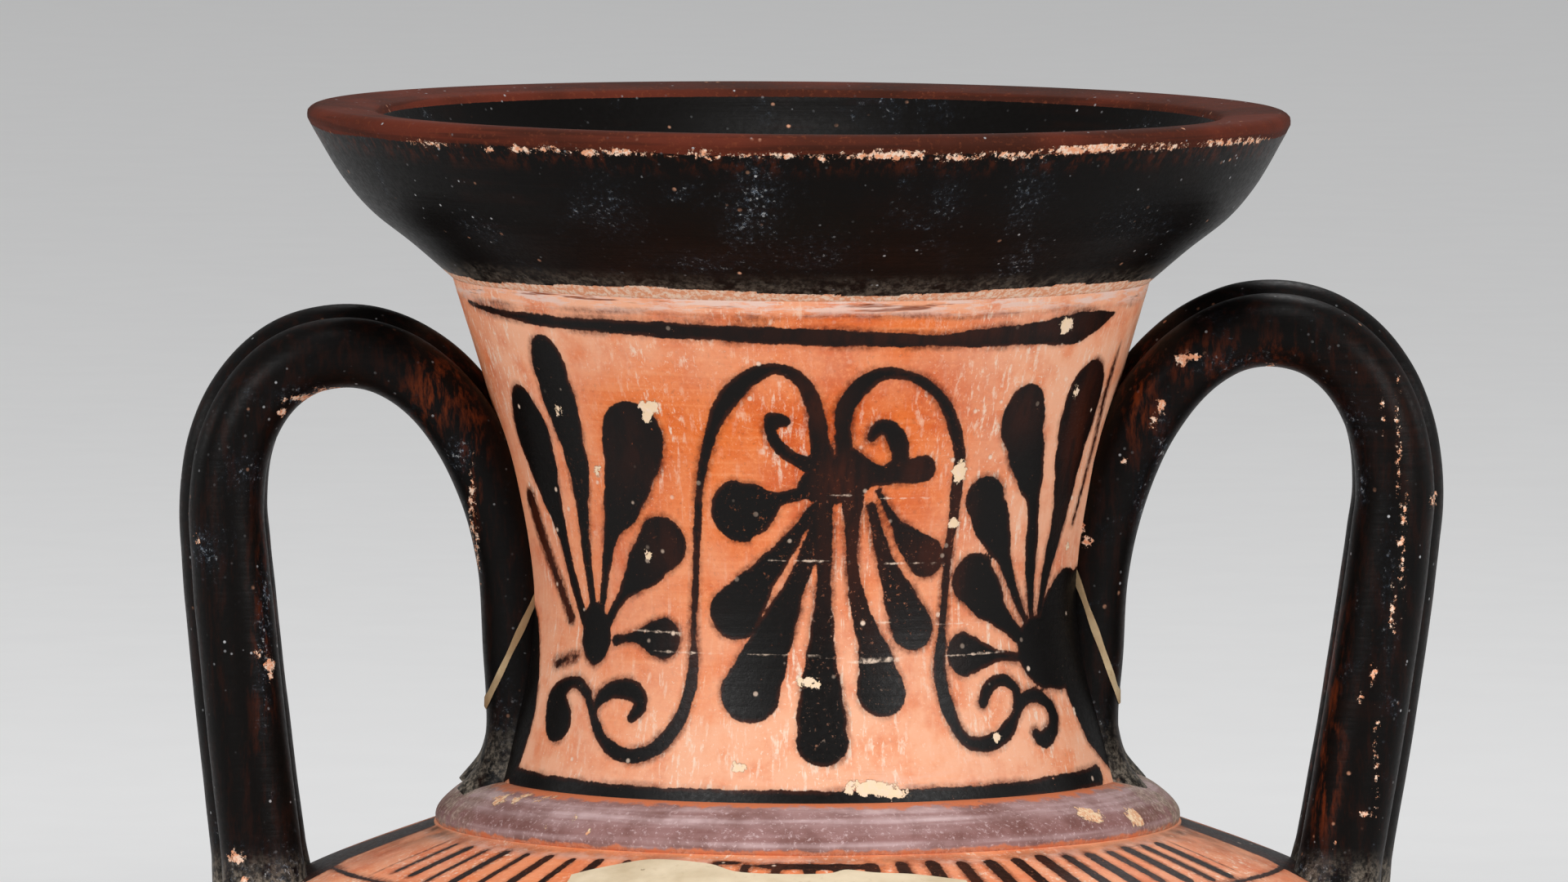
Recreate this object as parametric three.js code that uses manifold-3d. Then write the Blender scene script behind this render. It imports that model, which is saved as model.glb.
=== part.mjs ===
// A painted clay neck amphora, built as the potter and the restorer put it together: turned sections luted
// one on another, two reeded handles, each mended at a filled break, and a plaster fill in the shoulder.
// Millimetres, +Z up, the origin in the middle of the foot's resting plane, the painted front towards -Y.
import * as THREE from "three";
import { mergeVertices } from "three/addons/utils/BufferGeometryUtils.js";
import Module from "manifold-3d";

const wasm = await Module();
wasm.setup();

// Heights of the turned sections, from the table up
const footHeight = 21;
const filletHeight = 4;
const lowerBodyHeight = 133;
const shoulderHeight = 52;
const neckHeight = 70;
const mouthHeight = 22;

// Radii of the outside
const footRadius = 52;
const stemRadius = 27;
const filletRadius = 33.5;
const bodyRadius = 97;
const neckWaistRadius = 36.4;
const neckBaseFlare = 6.4; // how much wider the neck is at its base than at its waist
const neckTopFlare = 8.4; // and at its top
const collarLedge = 4.1; // how far the collar stands out beyond the neck's base
const shoulderLedge = 1.3; // how far the shoulder's top edge lies outside the collar
const lipRadius = 63.1;

// Walls and smaller sizes
const footWall = 9;
const floorThickness = 7;
const bodyWall = 5.5;
const neckWall = 6.5;
const lipWidth = 7.6;
const lipRound = 1.6;
const lipDip = 0.6;
const collarHeight = 5.4;
const restingRingWidth = 9;

// Handles: three round reeds side by side, bent in one plane. Drops are measured down from the mouth joint.
const reedPitch = 7.2;
const middleReedRise = 1;
const reedArcPoints = 6; // points round each outer reed
const crestPoints = 3; // points over the middle reed's crest, and under its belly
const crestAngle = 0.5; // half of the middle reed's visible arc, in radians
const leftHandle = {
  name: "handle_left",
  side: -1,
  reedRadius: 5.1,
  apexX: 58.5,
  apexDrop: 8.6,
  clingDrop: 44.6,
  bowX: 75,
  bowDrop: 29.3,
  rootX: 69.6,
  breakOffset: 0.2,
  breakSlant: THREE.MathUtils.degToRad(25),
};
const rightHandle = {
  name: "handle_right",
  side: 1,
  reedRadius: 5.3,
  apexX: 60,
  apexDrop: 5.8,
  clingDrop: 47.2,
  bowX: 77.2,
  bowDrop: 27.2,
  rootX: 69,
  breakOffset: 1.3,
  breakSlant: THREE.MathUtils.degToRad(18),
};
const handleTailRise = 8; // the handle's lower inner end, above the neck's base
const handleRootDepth = 4; // how far the outer leg's path runs on below the shoulder's surface
const tailSink = 2.6; // how far the middle line sinks into the neck at the handle's lower inner end
const clingSink = 1.4; // and in the middle of the stretch that clings to the neck
const legBend = 1.2; // how the outer leg leaves the vertical: 1 would be straight
const legKnots = 4;

// The mended break of each handle: a slanted plane through the clinging stretch. At a height of breakRise
// over the neck's base, its middle plane lies the handle's own breakOffset outside the neck's wall.
const breakRise = 24;
const breakWidth = 0.9;

// The plaster fill in the front of the shoulder: a patch that starts just in front of the collar
const fillLeft = 32;
const fillRight = 23.5;
const fillDrop = 26;
const fillSetback = 1.8;

const jointGap = 0.3;
const turnSegments = 44;
const handleSteps = 28;

const filletBase = footHeight;
const bodyBase = filletBase + filletHeight;
const bellyLevel = bodyBase + lowerBodyHeight;
const neckBase = bellyLevel + shoulderHeight;
const mouthBase = neckBase + neckHeight;

const neckBaseRadius = neckWaistRadius + neckBaseFlare;
const neckTopRadius = neckWaistRadius + neckTopFlare;
const collarRadius = neckBaseRadius + collarLedge;
const shoulderTopRadius = collarRadius + shoulderLedge;

// Smooth outlines, as lists of (radius, height) points

function smooth(points, steps) {
  const knots = points.map(([radius, height]) => new THREE.Vector2(radius, height));
  return new THREE.SplineCurve(knots).getPoints(steps);
}

function line(points) {
  return points.map(([radius, height]) => new THREE.Vector2(radius, height));
}

// The same outline moved sideways, to the left of its direction when the distance is positive
function offset(outline, distance) {
  return outline.map((point, i) => {
    const before = outline[Math.max(i - 1, 0)];
    const after = outline[Math.min(i + 1, outline.length - 1)];
    const along = after.clone().sub(before).normalize();
    return new THREE.Vector2(point.x - along.y * distance, point.y + along.x * distance);
  });
}

// The outline without the points outside two heights, ending exactly on both
function between(outline, low, high) {
  const inside = outline.filter((point) => point.y > low + jointGap && point.y < high - jointGap);
  const first = new THREE.Vector2(radiusAt(outline, low), low);
  const last = new THREE.Vector2(radiusAt(outline, high), high);
  return [first, ...inside, last];
}

function radiusAt(outline, height) {
  for (let i = 1; i < outline.length; i++) {
    const a = outline[i - 1];
    const b = outline[i];
    if ((a.y - height) * (b.y - height) <= 0 && a.y !== b.y) {
      return a.x + ((b.x - a.x) * (height - a.y)) / (b.y - a.y);
    }
  }
  const nearEnd = Math.abs(outline[0].y - height) < Math.abs(outline.at(-1).y - height);
  return (nearEnd ? outline[0] : outline.at(-1)).x;
}

function heightAt(outline, radius) {
  for (let i = 1; i < outline.length; i++) {
    const a = outline[i - 1];
    const b = outline[i];
    if ((a.x - radius) * (b.x - radius) <= 0 && a.x !== b.x) {
      return a.y + ((b.y - a.y) * (radius - a.x)) / (b.x - a.x);
    }
  }
  throw new Error("no point of the outline has the radius " + radius);
}

// Outer outlines of the four walls, from the bottom up

function lowerBodyOutline() {
  const swell = bodyRadius - stemRadius;
  return smooth(
    [
      [stemRadius, footHeight],
      [stemRadius + 0.06 * swell, bodyBase],
      [stemRadius + 0.42 * swell, bodyBase + 0.2 * lowerBodyHeight],
      [stemRadius + 0.75 * swell, bodyBase + 0.46 * lowerBodyHeight],
      [stemRadius + 0.945 * swell, bodyBase + 0.74 * lowerBodyHeight],
      [bodyRadius, bellyLevel],
    ],
    11,
  );
}

function shoulderOutline() {
  const span = bodyRadius - shoulderTopRadius;
  return smooth(
    [
      [bodyRadius, bellyLevel],
      [bodyRadius - 0.08 * span, bellyLevel + 0.36 * shoulderHeight],
      [bodyRadius - 0.3 * span, bellyLevel + 0.66 * shoulderHeight],
      [bodyRadius - 0.62 * span, bellyLevel + 0.86 * shoulderHeight],
      [shoulderTopRadius, neckBase],
    ],
    10,
  );
}

function neckOutline() {
  return smooth(
    [
      [neckBaseRadius, neckBase],
      [neckWaistRadius + 0.53 * neckBaseFlare, neckBase + 0.14 * neckHeight],
      [neckWaistRadius, neckBase + 0.4 * neckHeight],
      [neckWaistRadius + 0.18 * neckTopFlare, neckBase + 0.63 * neckHeight],
      [neckWaistRadius + 0.476 * neckTopFlare, neckBase + 0.79 * neckHeight],
      [neckTopRadius, mouthBase],
    ],
    9,
  );
}

function mouthOutline() {
  const flare = lipRadius - neckTopRadius;
  return smooth(
    [
      [neckTopRadius, mouthBase],
      [neckTopRadius + 0.28 * flare, mouthBase + 0.2 * mouthHeight],
      [neckTopRadius + 0.56 * flare, mouthBase + 0.385 * mouthHeight],
      [neckTopRadius + 0.76 * flare, mouthBase + 0.58 * mouthHeight],
      [neckTopRadius + 0.93 * flare, mouthBase + 0.82 * mouthHeight],
      [lipRadius, mouthBase + mouthHeight - lipRound],
    ],
    7,
  );
}

const bodyOutside = lowerBodyOutline();
const shoulderOutside = shoulderOutline();
const neckOutside = neckOutline();
const mouthOutside = mouthOutline();

// A solid of revolution about Z from an outline that closes on itself or starts and ends on the axis
function turned(outline) {
  const closed = outline[0].x < 1e-6 ? outline : [...outline, outline[0].clone()];
  return new THREE.LatheGeometry(closed, turnSegments).rotateX(Math.PI / 2);
}

// Everything inside an outline, down to the axis, grown by the joint gap
function filledTo(outline) {
  const grown = offset(outline, -jointGap);
  const bottom = new THREE.Vector2(0, grown[0].y);
  const top = new THREE.Vector2(0, grown.at(-1).y);
  return turned([bottom, ...grown, top]);
}

function solidOf(geometry) {
  const bare = geometry.clone();
  bare.deleteAttribute("normal");
  bare.deleteAttribute("uv");
  const merged = mergeVertices(bare, 1e-4);
  const corners = Array.from(merged.index.array);
  const kept = [];
  for (let i = 0; i < corners.length; i += 3) {
    const [a, b, c] = corners.slice(i, i + 3);
    if (a !== b && b !== c && c !== a) {
      kept.push(a, b, c);
    }
  }
  const mesh = new wasm.Mesh({
    numProp: 3,
    vertProperties: merged.attributes.position.array,
    triVerts: new Uint32Array(kept),
  });
  return new wasm.Manifold(mesh);
}

function geometryOf(solid) {
  const mesh = solid.getMesh();
  const geometry = new THREE.BufferGeometry();
  geometry.setAttribute("position", new THREE.BufferAttribute(mesh.vertProperties, 3));
  geometry.setIndex(new THREE.BufferAttribute(mesh.triVerts, 1));
  geometry.computeVertexNormals();
  return geometry;
}

// Turned sections

function mouth() {
  const top = mouthBase + mouthHeight;
  const innerTop = lipRadius - lipRound - lipWidth;
  const throat = neckTopRadius - neckWall;
  const outer = between(mouthOutside, mouthBase + jointGap, top - lipRound);
  const inner = smooth(
    [
      [innerTop, top - lipDip - lipRound / 2],
      [innerTop - 0.14 * (innerTop - throat), top - 0.24 * mouthHeight],
      [innerTop - 0.52 * (innerTop - throat), top - 0.56 * mouthHeight],
      [innerTop - 0.86 * (innerTop - throat), top - 0.82 * mouthHeight],
      [throat, mouthBase + jointGap],
    ],
    6,
  );
  const lip = line([
    [lipRadius - 0.3 * lipRound, top - 0.3 * lipRound],
    [lipRadius - lipRound, top],
    [innerTop + lipRound / 2, top - lipDip],
  ]);
  return turned([...outer, ...lip, ...inner]);
}

function neck() {
  const outer = between(neckOutside, neckBase + jointGap, mouthBase);
  const inner = offset(outer, neckWall).reverse();
  inner[0].y = mouthBase;
  inner.at(-1).y = neckBase + jointGap;
  return turned([...outer, ...inner]);
}

function neckCollar() {
  const low = neckBase + jointGap;
  const high = neckBase + collarHeight;
  const rise = high - low;
  const face = smooth(
    [
      [collarRadius - 0.5, low],
      [collarRadius, low + 0.2 * rise],
      [collarRadius - 1.1, low + 0.62 * rise],
      [radiusAt(neckOutside, high) + 3 * jointGap, high],
    ],
    5,
  );
  const wall = between(neckOutside, low, high).reverse();
  const seat = wall.map((point) => [point.x + jointGap, point.y]);
  return turned([...face, ...line(seat)]);
}

function shoulderWall() {
  const outer = between(shoulderOutside, bellyLevel + jointGap, neckBase);
  const inner = offset(outer, bodyWall).reverse();
  const bore = radiusAt(neckOutside, neckBase) - neckWall;
  const vault = inner.filter((point) => point.x > bore + bodyWall);
  vault.at(-1).y = bellyLevel + jointGap;
  const throat = line([
    [bore, neckBase],
    [bore, neckBase - bodyWall],
  ]);
  return turned([...outer, ...throat, ...vault]);
}

function lowerBody() {
  const outer = between(bodyOutside, footHeight + jointGap, bellyLevel);
  const wall = offset(outer, bodyWall).reverse();
  wall[0].y = bellyLevel;
  const floor = footHeight + jointGap + floorThickness;
  const inner = wall.filter((point) => point.y > floor + floorThickness / 2);
  const bowl = line([
    [0.55 * inner.at(-1).x, floor + 1],
    [0, floor],
  ]);
  return turned([new THREE.Vector2(0, footHeight + jointGap), ...outer, ...inner, ...bowl]);
}

function footFillet() {
  const low = filletBase + jointGap;
  const high = bodyBase;
  const rise = high - low;
  const face = smooth(
    [
      [filletRadius - 1, low],
      [filletRadius, low + rise / 2],
      [filletRadius - 1, high],
    ],
    4,
  );
  const wall = between(bodyOutside, low, high).reverse();
  const seat = wall.map((point) => [point.x + jointGap, point.y]);
  return turned([...face, ...line(seat)]);
}

function foot() {
  const neckOfFoot = filletRadius - 1;
  const outer = smooth(
    [
      [footRadius - 2, 0],
      [footRadius, 0.2 * footHeight],
      [footRadius - 1.6, 0.45 * footHeight],
      [neckOfFoot + 0.42 * (footRadius - neckOfFoot), 0.7 * footHeight],
      [neckOfFoot, footHeight],
    ],
    7,
  );
  const hollow = line([
    [0, footHeight - footWall],
    [0.45 * footRadius, footHeight - footWall - 1],
    [footRadius - restingRingWidth - 5, 0.3 * footHeight],
    [footRadius - 2 - restingRingWidth, 0],
  ]);
  return turned([...hollow, ...outer, new THREE.Vector2(0, footHeight)]);
}

// Handles

// Three round reeds side by side, as one outline: x runs across the reeds and y out of the handle's bend
function reedSection(radius) {
  const half = reedPitch / 2;
  const valley = Math.acos(half / radius);
  const points = [];
  const arc = (centre, rise, from, to, count) => {
    for (let i = 0; i < count; i++) {
      const angle = from + ((to - from) * i) / (count - 1);
      points.push(new THREE.Vector2(centre + radius * Math.cos(angle), rise + radius * Math.sin(angle)));
    }
  };
  const quarter = Math.PI / 2;
  arc(reedPitch, 0, valley - Math.PI, Math.PI - valley, reedArcPoints);
  arc(0, middleReedRise, quarter - crestAngle, quarter + crestAngle, crestPoints);
  arc(-reedPitch, 0, valley, 2 * Math.PI - valley, reedArcPoints);
  arc(0, 0, -quarter - crestAngle, -quarter + crestAngle, crestPoints);
  return new THREE.Shape(points);
}

// Five points along an ellipse's arc, between two angles
function ellipseArc(x, z, halfWidth, halfHeight, from, to) {
  return [0, 1, 2, 3, 4].map((i) => {
    const angle = from + ((to - from) * i) / 4;
    return [x + halfWidth * Math.cos(angle), z + halfHeight * Math.sin(angle)];
  });
}

// The handle's middle line: down the neck, over the arch in two quarter ellipses, and down to the shoulder
function handlePath(handle) {
  const cling = mouthBase - handle.clingDrop;
  const apex = mouthBase - handle.apexDrop;
  const bow = mouthBase - handle.bowDrop;
  const neckX = radiusAt(neckOutside, cling);
  const tail = neckBase + handleTailRise;
  const shoulder = heightAt(shoulderOutside, handle.rootX);
  const points = [
    [radiusAt(neckOutside, tail) - tailSink, tail],
    [neckX - clingSink, (tail + cling) / 2],
  ];
  const innerReach = handle.apexX - neckX;
  const outerReach = handle.bowX - handle.apexX;
  points.push(...ellipseArc(handle.apexX, cling, innerReach, apex - cling, Math.PI, 0.6 * Math.PI));
  points.push(...ellipseArc(handle.apexX, bow, outerReach, apex - bow, Math.PI / 2, 0));
  const legHeight = bow - shoulder + handleRootDepth;
  for (let i = 1; i <= legKnots; i++) {
    const share = i / legKnots;
    points.push([handle.bowX - (handle.bowX - handle.rootX) * share ** legBend, bow - legHeight * share]);
  }
  const knots = points.map(([x, z]) => new THREE.Vector3(handle.side * x, 0, z));
  return new THREE.CatmullRomCurve3(knots, false, "centripetal");
}

function handleSweep(handle) {
  const shape = reedSection(handle.reedRadius);
  if (handle.side > 0) {
    shape.curves.forEach((piece) => {
      piece.v1.y *= -1;
      piece.v2.y *= -1;
    });
  }
  return new THREE.ExtrudeGeometry(shape, {
    steps: handleSteps,
    extrudePath: handlePath(handle),
    curveSegments: 1,
  });
}

// A slab along the break, from one distance to another beyond its middle plane. The handle's free arch is
// on the positive side.
function breakSlab(handle, from, to) {
  const reach = 2 * bodyRadius;
  const slab = new THREE.BoxGeometry(to - from, reach, reach);
  slab.translate((from + to) / 2, 0, 0);
  slab.rotateY(-handle.breakSlant);
  const level = neckBase + breakRise;
  slab.translate(radiusAt(neckOutside, level) + handle.breakOffset, 0, level);
  if (handle.side < 0) {
    slab.rotateZ(Math.PI);
  }
  return slab;
}

// The sweep trimmed to the neck and the shoulder, and the stretch of it within a slab along the break
function handlePart(handle, from, to) {
  return solidOf(handleSweep(handle))
    .subtract(solidOf(filledTo(neckOutside)))
    .subtract(solidOf(filledTo(shoulderOutside)))
    .intersect(solidOf(breakSlab(handle, from, to)));
}

function handleArch(handle) {
  return geometryOf(handlePart(handle, breakWidth / 2 + jointGap, bodyRadius));
}

function handleRoot(handle) {
  return geometryOf(handlePart(handle, -bodyRadius, -breakWidth / 2 - jointGap));
}

function handleSeam(handle) {
  return geometryOf(handlePart(handle, -breakWidth / 2, breakWidth / 2));
}

// Plaster fill: a rounded, uneven patch cut straight through the shoulder's wall from the front, with its
// upper edge along the collar
function fillCutter(grow) {
  const top = neckBase + fillSetback;
  const rim = smooth(
    [
      [-0.93 * fillLeft, top],
      [-fillLeft, neckBase - 0.35 * fillDrop],
      [-0.72 * fillLeft, neckBase - 0.8 * fillDrop],
      [-0.1 * fillLeft, neckBase - fillDrop],
      [0.66 * fillRight, neckBase - 0.84 * fillDrop],
      [fillRight, neckBase - 0.4 * fillDrop],
      [0.87 * fillRight, top],
    ],
    14,
  );
  const prism = new THREE.ExtrudeGeometry(new THREE.Shape(offset(rim, -grow)), {
    depth: 2 * bodyRadius,
    bevelEnabled: false,
  });
  const coreRadius = collarRadius + fillSetback - grow;
  const core = new THREE.CylinderGeometry(coreRadius, coreRadius, 2 * mouthBase, turnSegments);
  return solidOf(prism.rotateX(Math.PI / 2)).subtract(solidOf(core.rotateX(Math.PI / 2)));
}

function shoulder() {
  return geometryOf(solidOf(shoulderWall()).subtract(fillCutter(jointGap)));
}

function shoulderFill() {
  return geometryOf(solidOf(shoulderWall()).intersect(fillCutter(0)));
}

// Finishes

function blackGloss() {
  return new THREE.MeshStandardMaterial({ color: 0x14110f, roughness: 0.28, metalness: 0 });
}

function orangeClay() {
  return new THREE.MeshStandardMaterial({ color: 0xd0784a, roughness: 0.62, metalness: 0 });
}

function purpleWash() {
  return new THREE.MeshStandardMaterial({ color: 0x7d5350, roughness: 0.7, metalness: 0 });
}

function plaster() {
  return new THREE.MeshStandardMaterial({ color: 0xd9c9a6, roughness: 0.85, metalness: 0 });
}

function piece(name, geometry, material) {
  const mesh = new THREE.Mesh(geometry, material);
  mesh.name = name;
  return mesh;
}

const amphora = new THREE.Group();
amphora.add(
  piece("foot", foot(), blackGloss()),
  piece("foot_fillet", footFillet(), purpleWash()),
  piece("lower_body", lowerBody(), orangeClay()),
  piece("shoulder", shoulder(), orangeClay()),
  piece("shoulder_fill", shoulderFill(), plaster()),
  piece("neck_collar", neckCollar(), purpleWash()),
  piece("neck", neck(), orangeClay()),
  piece("mouth", mouth(), blackGloss()),
);
for (const handle of [leftHandle, rightHandle]) {
  amphora.add(
    piece(handle.name, handleArch(handle), blackGloss()),
    piece(handle.name + "_root", handleRoot(handle), blackGloss()),
    piece(handle.name + "_seam", handleSeam(handle), plaster()),
  );
}

export default amphora;
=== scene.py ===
import math

import bmesh
import bpy
import numpy as np
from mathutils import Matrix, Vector


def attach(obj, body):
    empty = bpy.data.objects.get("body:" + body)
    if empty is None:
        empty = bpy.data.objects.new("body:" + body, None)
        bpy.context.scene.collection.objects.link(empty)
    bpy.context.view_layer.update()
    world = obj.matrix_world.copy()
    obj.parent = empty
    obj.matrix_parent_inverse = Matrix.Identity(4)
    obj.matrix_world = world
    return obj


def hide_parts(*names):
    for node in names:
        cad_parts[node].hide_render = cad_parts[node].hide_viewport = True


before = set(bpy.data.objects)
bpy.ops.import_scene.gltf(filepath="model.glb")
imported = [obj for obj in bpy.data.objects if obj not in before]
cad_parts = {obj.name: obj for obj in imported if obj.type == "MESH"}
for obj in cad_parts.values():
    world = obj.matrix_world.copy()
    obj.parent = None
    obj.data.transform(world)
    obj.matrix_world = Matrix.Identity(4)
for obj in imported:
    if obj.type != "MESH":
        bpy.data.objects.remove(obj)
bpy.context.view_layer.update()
mm = 0.001

# camera

cameraSetup = {"place": (-0.00231, -2.205, 0.424), "lookAt": (-0.00231, 0.0, 0.25905), "lens": 394.8}
cameraData = bpy.data.cameras.new("camera")
cameraData.lens = cameraSetup["lens"]
cameraData.clip_end = 60
camera = bpy.data.objects.new("camera", cameraData)
bpy.context.scene.collection.objects.link(camera)
camera.location = cameraSetup["place"]
gaze = Vector(cameraSetup["lookAt"]) - Vector(cameraSetup["place"])
camera.rotation_euler = gaze.to_track_quat("-Z", "Y").to_euler()
bpy.context.scene.camera = camera
bpy.context.scene.view_settings.view_transform = "Standard"
print("camera ready")


# node building


class Finish:
    # one material and short ways to add nodes to it
    def __init__(self, name, colour="deep"):
        self.material = bpy.data.materials.new(name)
        self.material.use_nodes = True
        self.tree = self.material.node_tree
        self.tree.nodes.clear()
        self.coords = self.node("ShaderNodeTexCoord").outputs["Object"]
        self.colour = colour

    def node(self, kind, **settings):
        made = self.tree.nodes.new(kind)
        for key, value in settings.items():
            setattr(made, key, value)
        return made

    def plug(self, socket, value):
        # a value is a socket, a number or a colour's name
        if isinstance(value, bpy.types.NodeSocket):
            self.tree.links.new(value, socket)
        else:
            socket.default_value = palette[value] if isinstance(value, str) else value

    def maths(self, operation, a, b=0.0, clamp=False):
        made = self.node("ShaderNodeMath", operation=operation, use_clamp=clamp)
        self.plug(made.inputs[0], a)
        self.plug(made.inputs[1], b)
        return made.outputs[0]

    def plus(self, a, b, clamp=False):
        return self.maths("ADD", a, b, clamp)

    def less(self, a, b):
        return self.maths("SUBTRACT", a, b)

    def times(self, a, b):
        return self.maths("MULTIPLY", a, b)

    def most(self, a, b):
        return self.maths("MAXIMUM", a, b)

    def attribute(self, name):
        return self.node("ShaderNodeAttribute", attribute_name=name).outputs["Fac"]

    def texture(self, kind, stretch, shift, **amounts):
        mapping = self.node("ShaderNodeMapping")
        mapping.inputs["Scale"].default_value = stretch
        mapping.inputs["Location"].default_value = shift
        self.plug(mapping.inputs["Vector"], self.coords)
        made = self.node(kind)
        self.plug(made.inputs["Vector"], mapping.outputs[0])
        for key, value in amounts.items():
            made.inputs[key].default_value = value
        return made.outputs

    def noise(self, scale, detail=3.0, rough=0.55, stretch=(1, 1, 1), shift=(0, 0, 0), warp=0.0):
        made = self.texture("ShaderNodeTexNoise", stretch, shift, Scale=scale, Detail=detail,
                            Roughness=rough, Distortion=warp)
        return made["Fac"]

    def specks(self, scale, size, share, shift=(0, 0, 0), fray=None):
        # grains whose edge fades over the two values of size, kept where a grain's own number passes share
        made = self.texture("ShaderNodeTexVoronoi", (1, 1, 1), shift, Scale=scale)
        near = made["Distance"]
        if fray is not None:
            near = self.plus(near, self.times(fray, 0.12))
        return self.times(self.span(near, *size, 1, 0), self.span(made["Color"], *share))

    def ragged(self, name, noise, amount):
        # a distance kept on the points, with a ragged edge
        return self.plus(self.attribute(name), self.times(self.less(noise, 0.5), amount))

    def span(self, value, low, high, start=0.0, end=1.0, smooth=True):
        made = self.node("ShaderNodeMapRange", interpolation_type="SMOOTHSTEP" if smooth else "LINEAR")
        for socket, amount in zip(made.inputs, (value, low, high, start, end)):
            self.plug(socket, amount)
        return made.outputs["Result"]

    def blend(self, amount, a, b):
        made = self.node("ShaderNodeMix", data_type="RGBA")
        for place, value in ((0, amount), (6, a), (7, b)):
            self.plug(made.inputs[place], value)
        return made.outputs[2]

    def lay(self, amount, colour):
        # paints a colour over what is there
        self.colour = self.blend(amount, self.colour, colour)

    def shader(self, roughness, height, depth, specular):
        made = self.node("ShaderNodeBsdfPrincipled")
        self.plug(made.inputs["Base Color"], self.colour)
        self.plug(made.inputs["Roughness"], roughness)
        made.inputs["Specular IOR Level"].default_value = specular
        bump = self.node("ShaderNodeBump")
        bump.inputs["Strength"].default_value = 1.0
        bump.inputs["Distance"].default_value = depth
        self.plug(bump.inputs["Height"], height)
        self.plug(made.inputs["Normal"], bump.outputs[0])
        self.plug(self.node("ShaderNodeOutputMaterial").inputs["Surface"], made.outputs[0])
        return self.material


def tint(red, green, blue):
    # a colour given as 0-255 screen values
    screen = (red, green, blue)
    return (*(((c / 255 + 0.055) / 1.055) ** 2.4 if c > 10 else c / 3295 for c in screen), 1)


palette = {name: tint(*levels) for name, levels in {
    # clay
    "deep": (205, 84, 24), "clay": (227, 114, 48), "warm": (238, 150, 96), "peach": (238, 176, 142),
    "chalk": (238, 212, 190), "cream": (240, 212, 176), "shade": (150, 66, 32), "worn": (228, 196, 182),
    # the last colour on the next line is painted shade, laid at the joints and under the handles
    "rubbed": (132, 66, 36), "grime": (96, 64, 46),
    # black slip, thick and thin
    "black": (12, 10, 9), "thin": (66, 27, 13), "halo": (76, 25, 10), "warmBlack": (30, 15, 10),
    "rust": (112, 48, 20), "haze": (64, 76, 90), "bloom": (120, 132, 146), "bloomPale": (206, 208, 206),
    "crust": (70, 66, 60), "crustPale": (168, 156, 140), "dot": (176, 178, 180), "chip": (226, 158, 120),
    # the mouth's red band
    "lipRed": (98, 42, 28), "lipDark": (60, 28, 18), "lipLine": (46, 24, 17), "lipFleck": (118, 62, 40),
    # collar and fillet
    "purple": (140, 98, 94), "purpleDark": (112, 70, 63), "lavender": (202, 176, 176), "rim": (206, 118, 78),
    "dirt": (128, 108, 92), "dirtPale": (196, 176, 158), "collarChip": (222, 160, 120),
    # fills
    "plaster": (226, 211, 182), "plasterShade": (198, 180, 148), "mend": (196, 176, 140),
    "mendShade": (150, 122, 88), "pit": (150, 128, 98),
    # floor, with painted light: its colour darkens far off, and it glows, dimly near the vase
    "floorLitNear": (206, 206, 206), "floorShadedFar": (184, 184, 184), "fibre": (170, 170, 172), "dim": (60, 60, 60),
}.items()}


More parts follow.
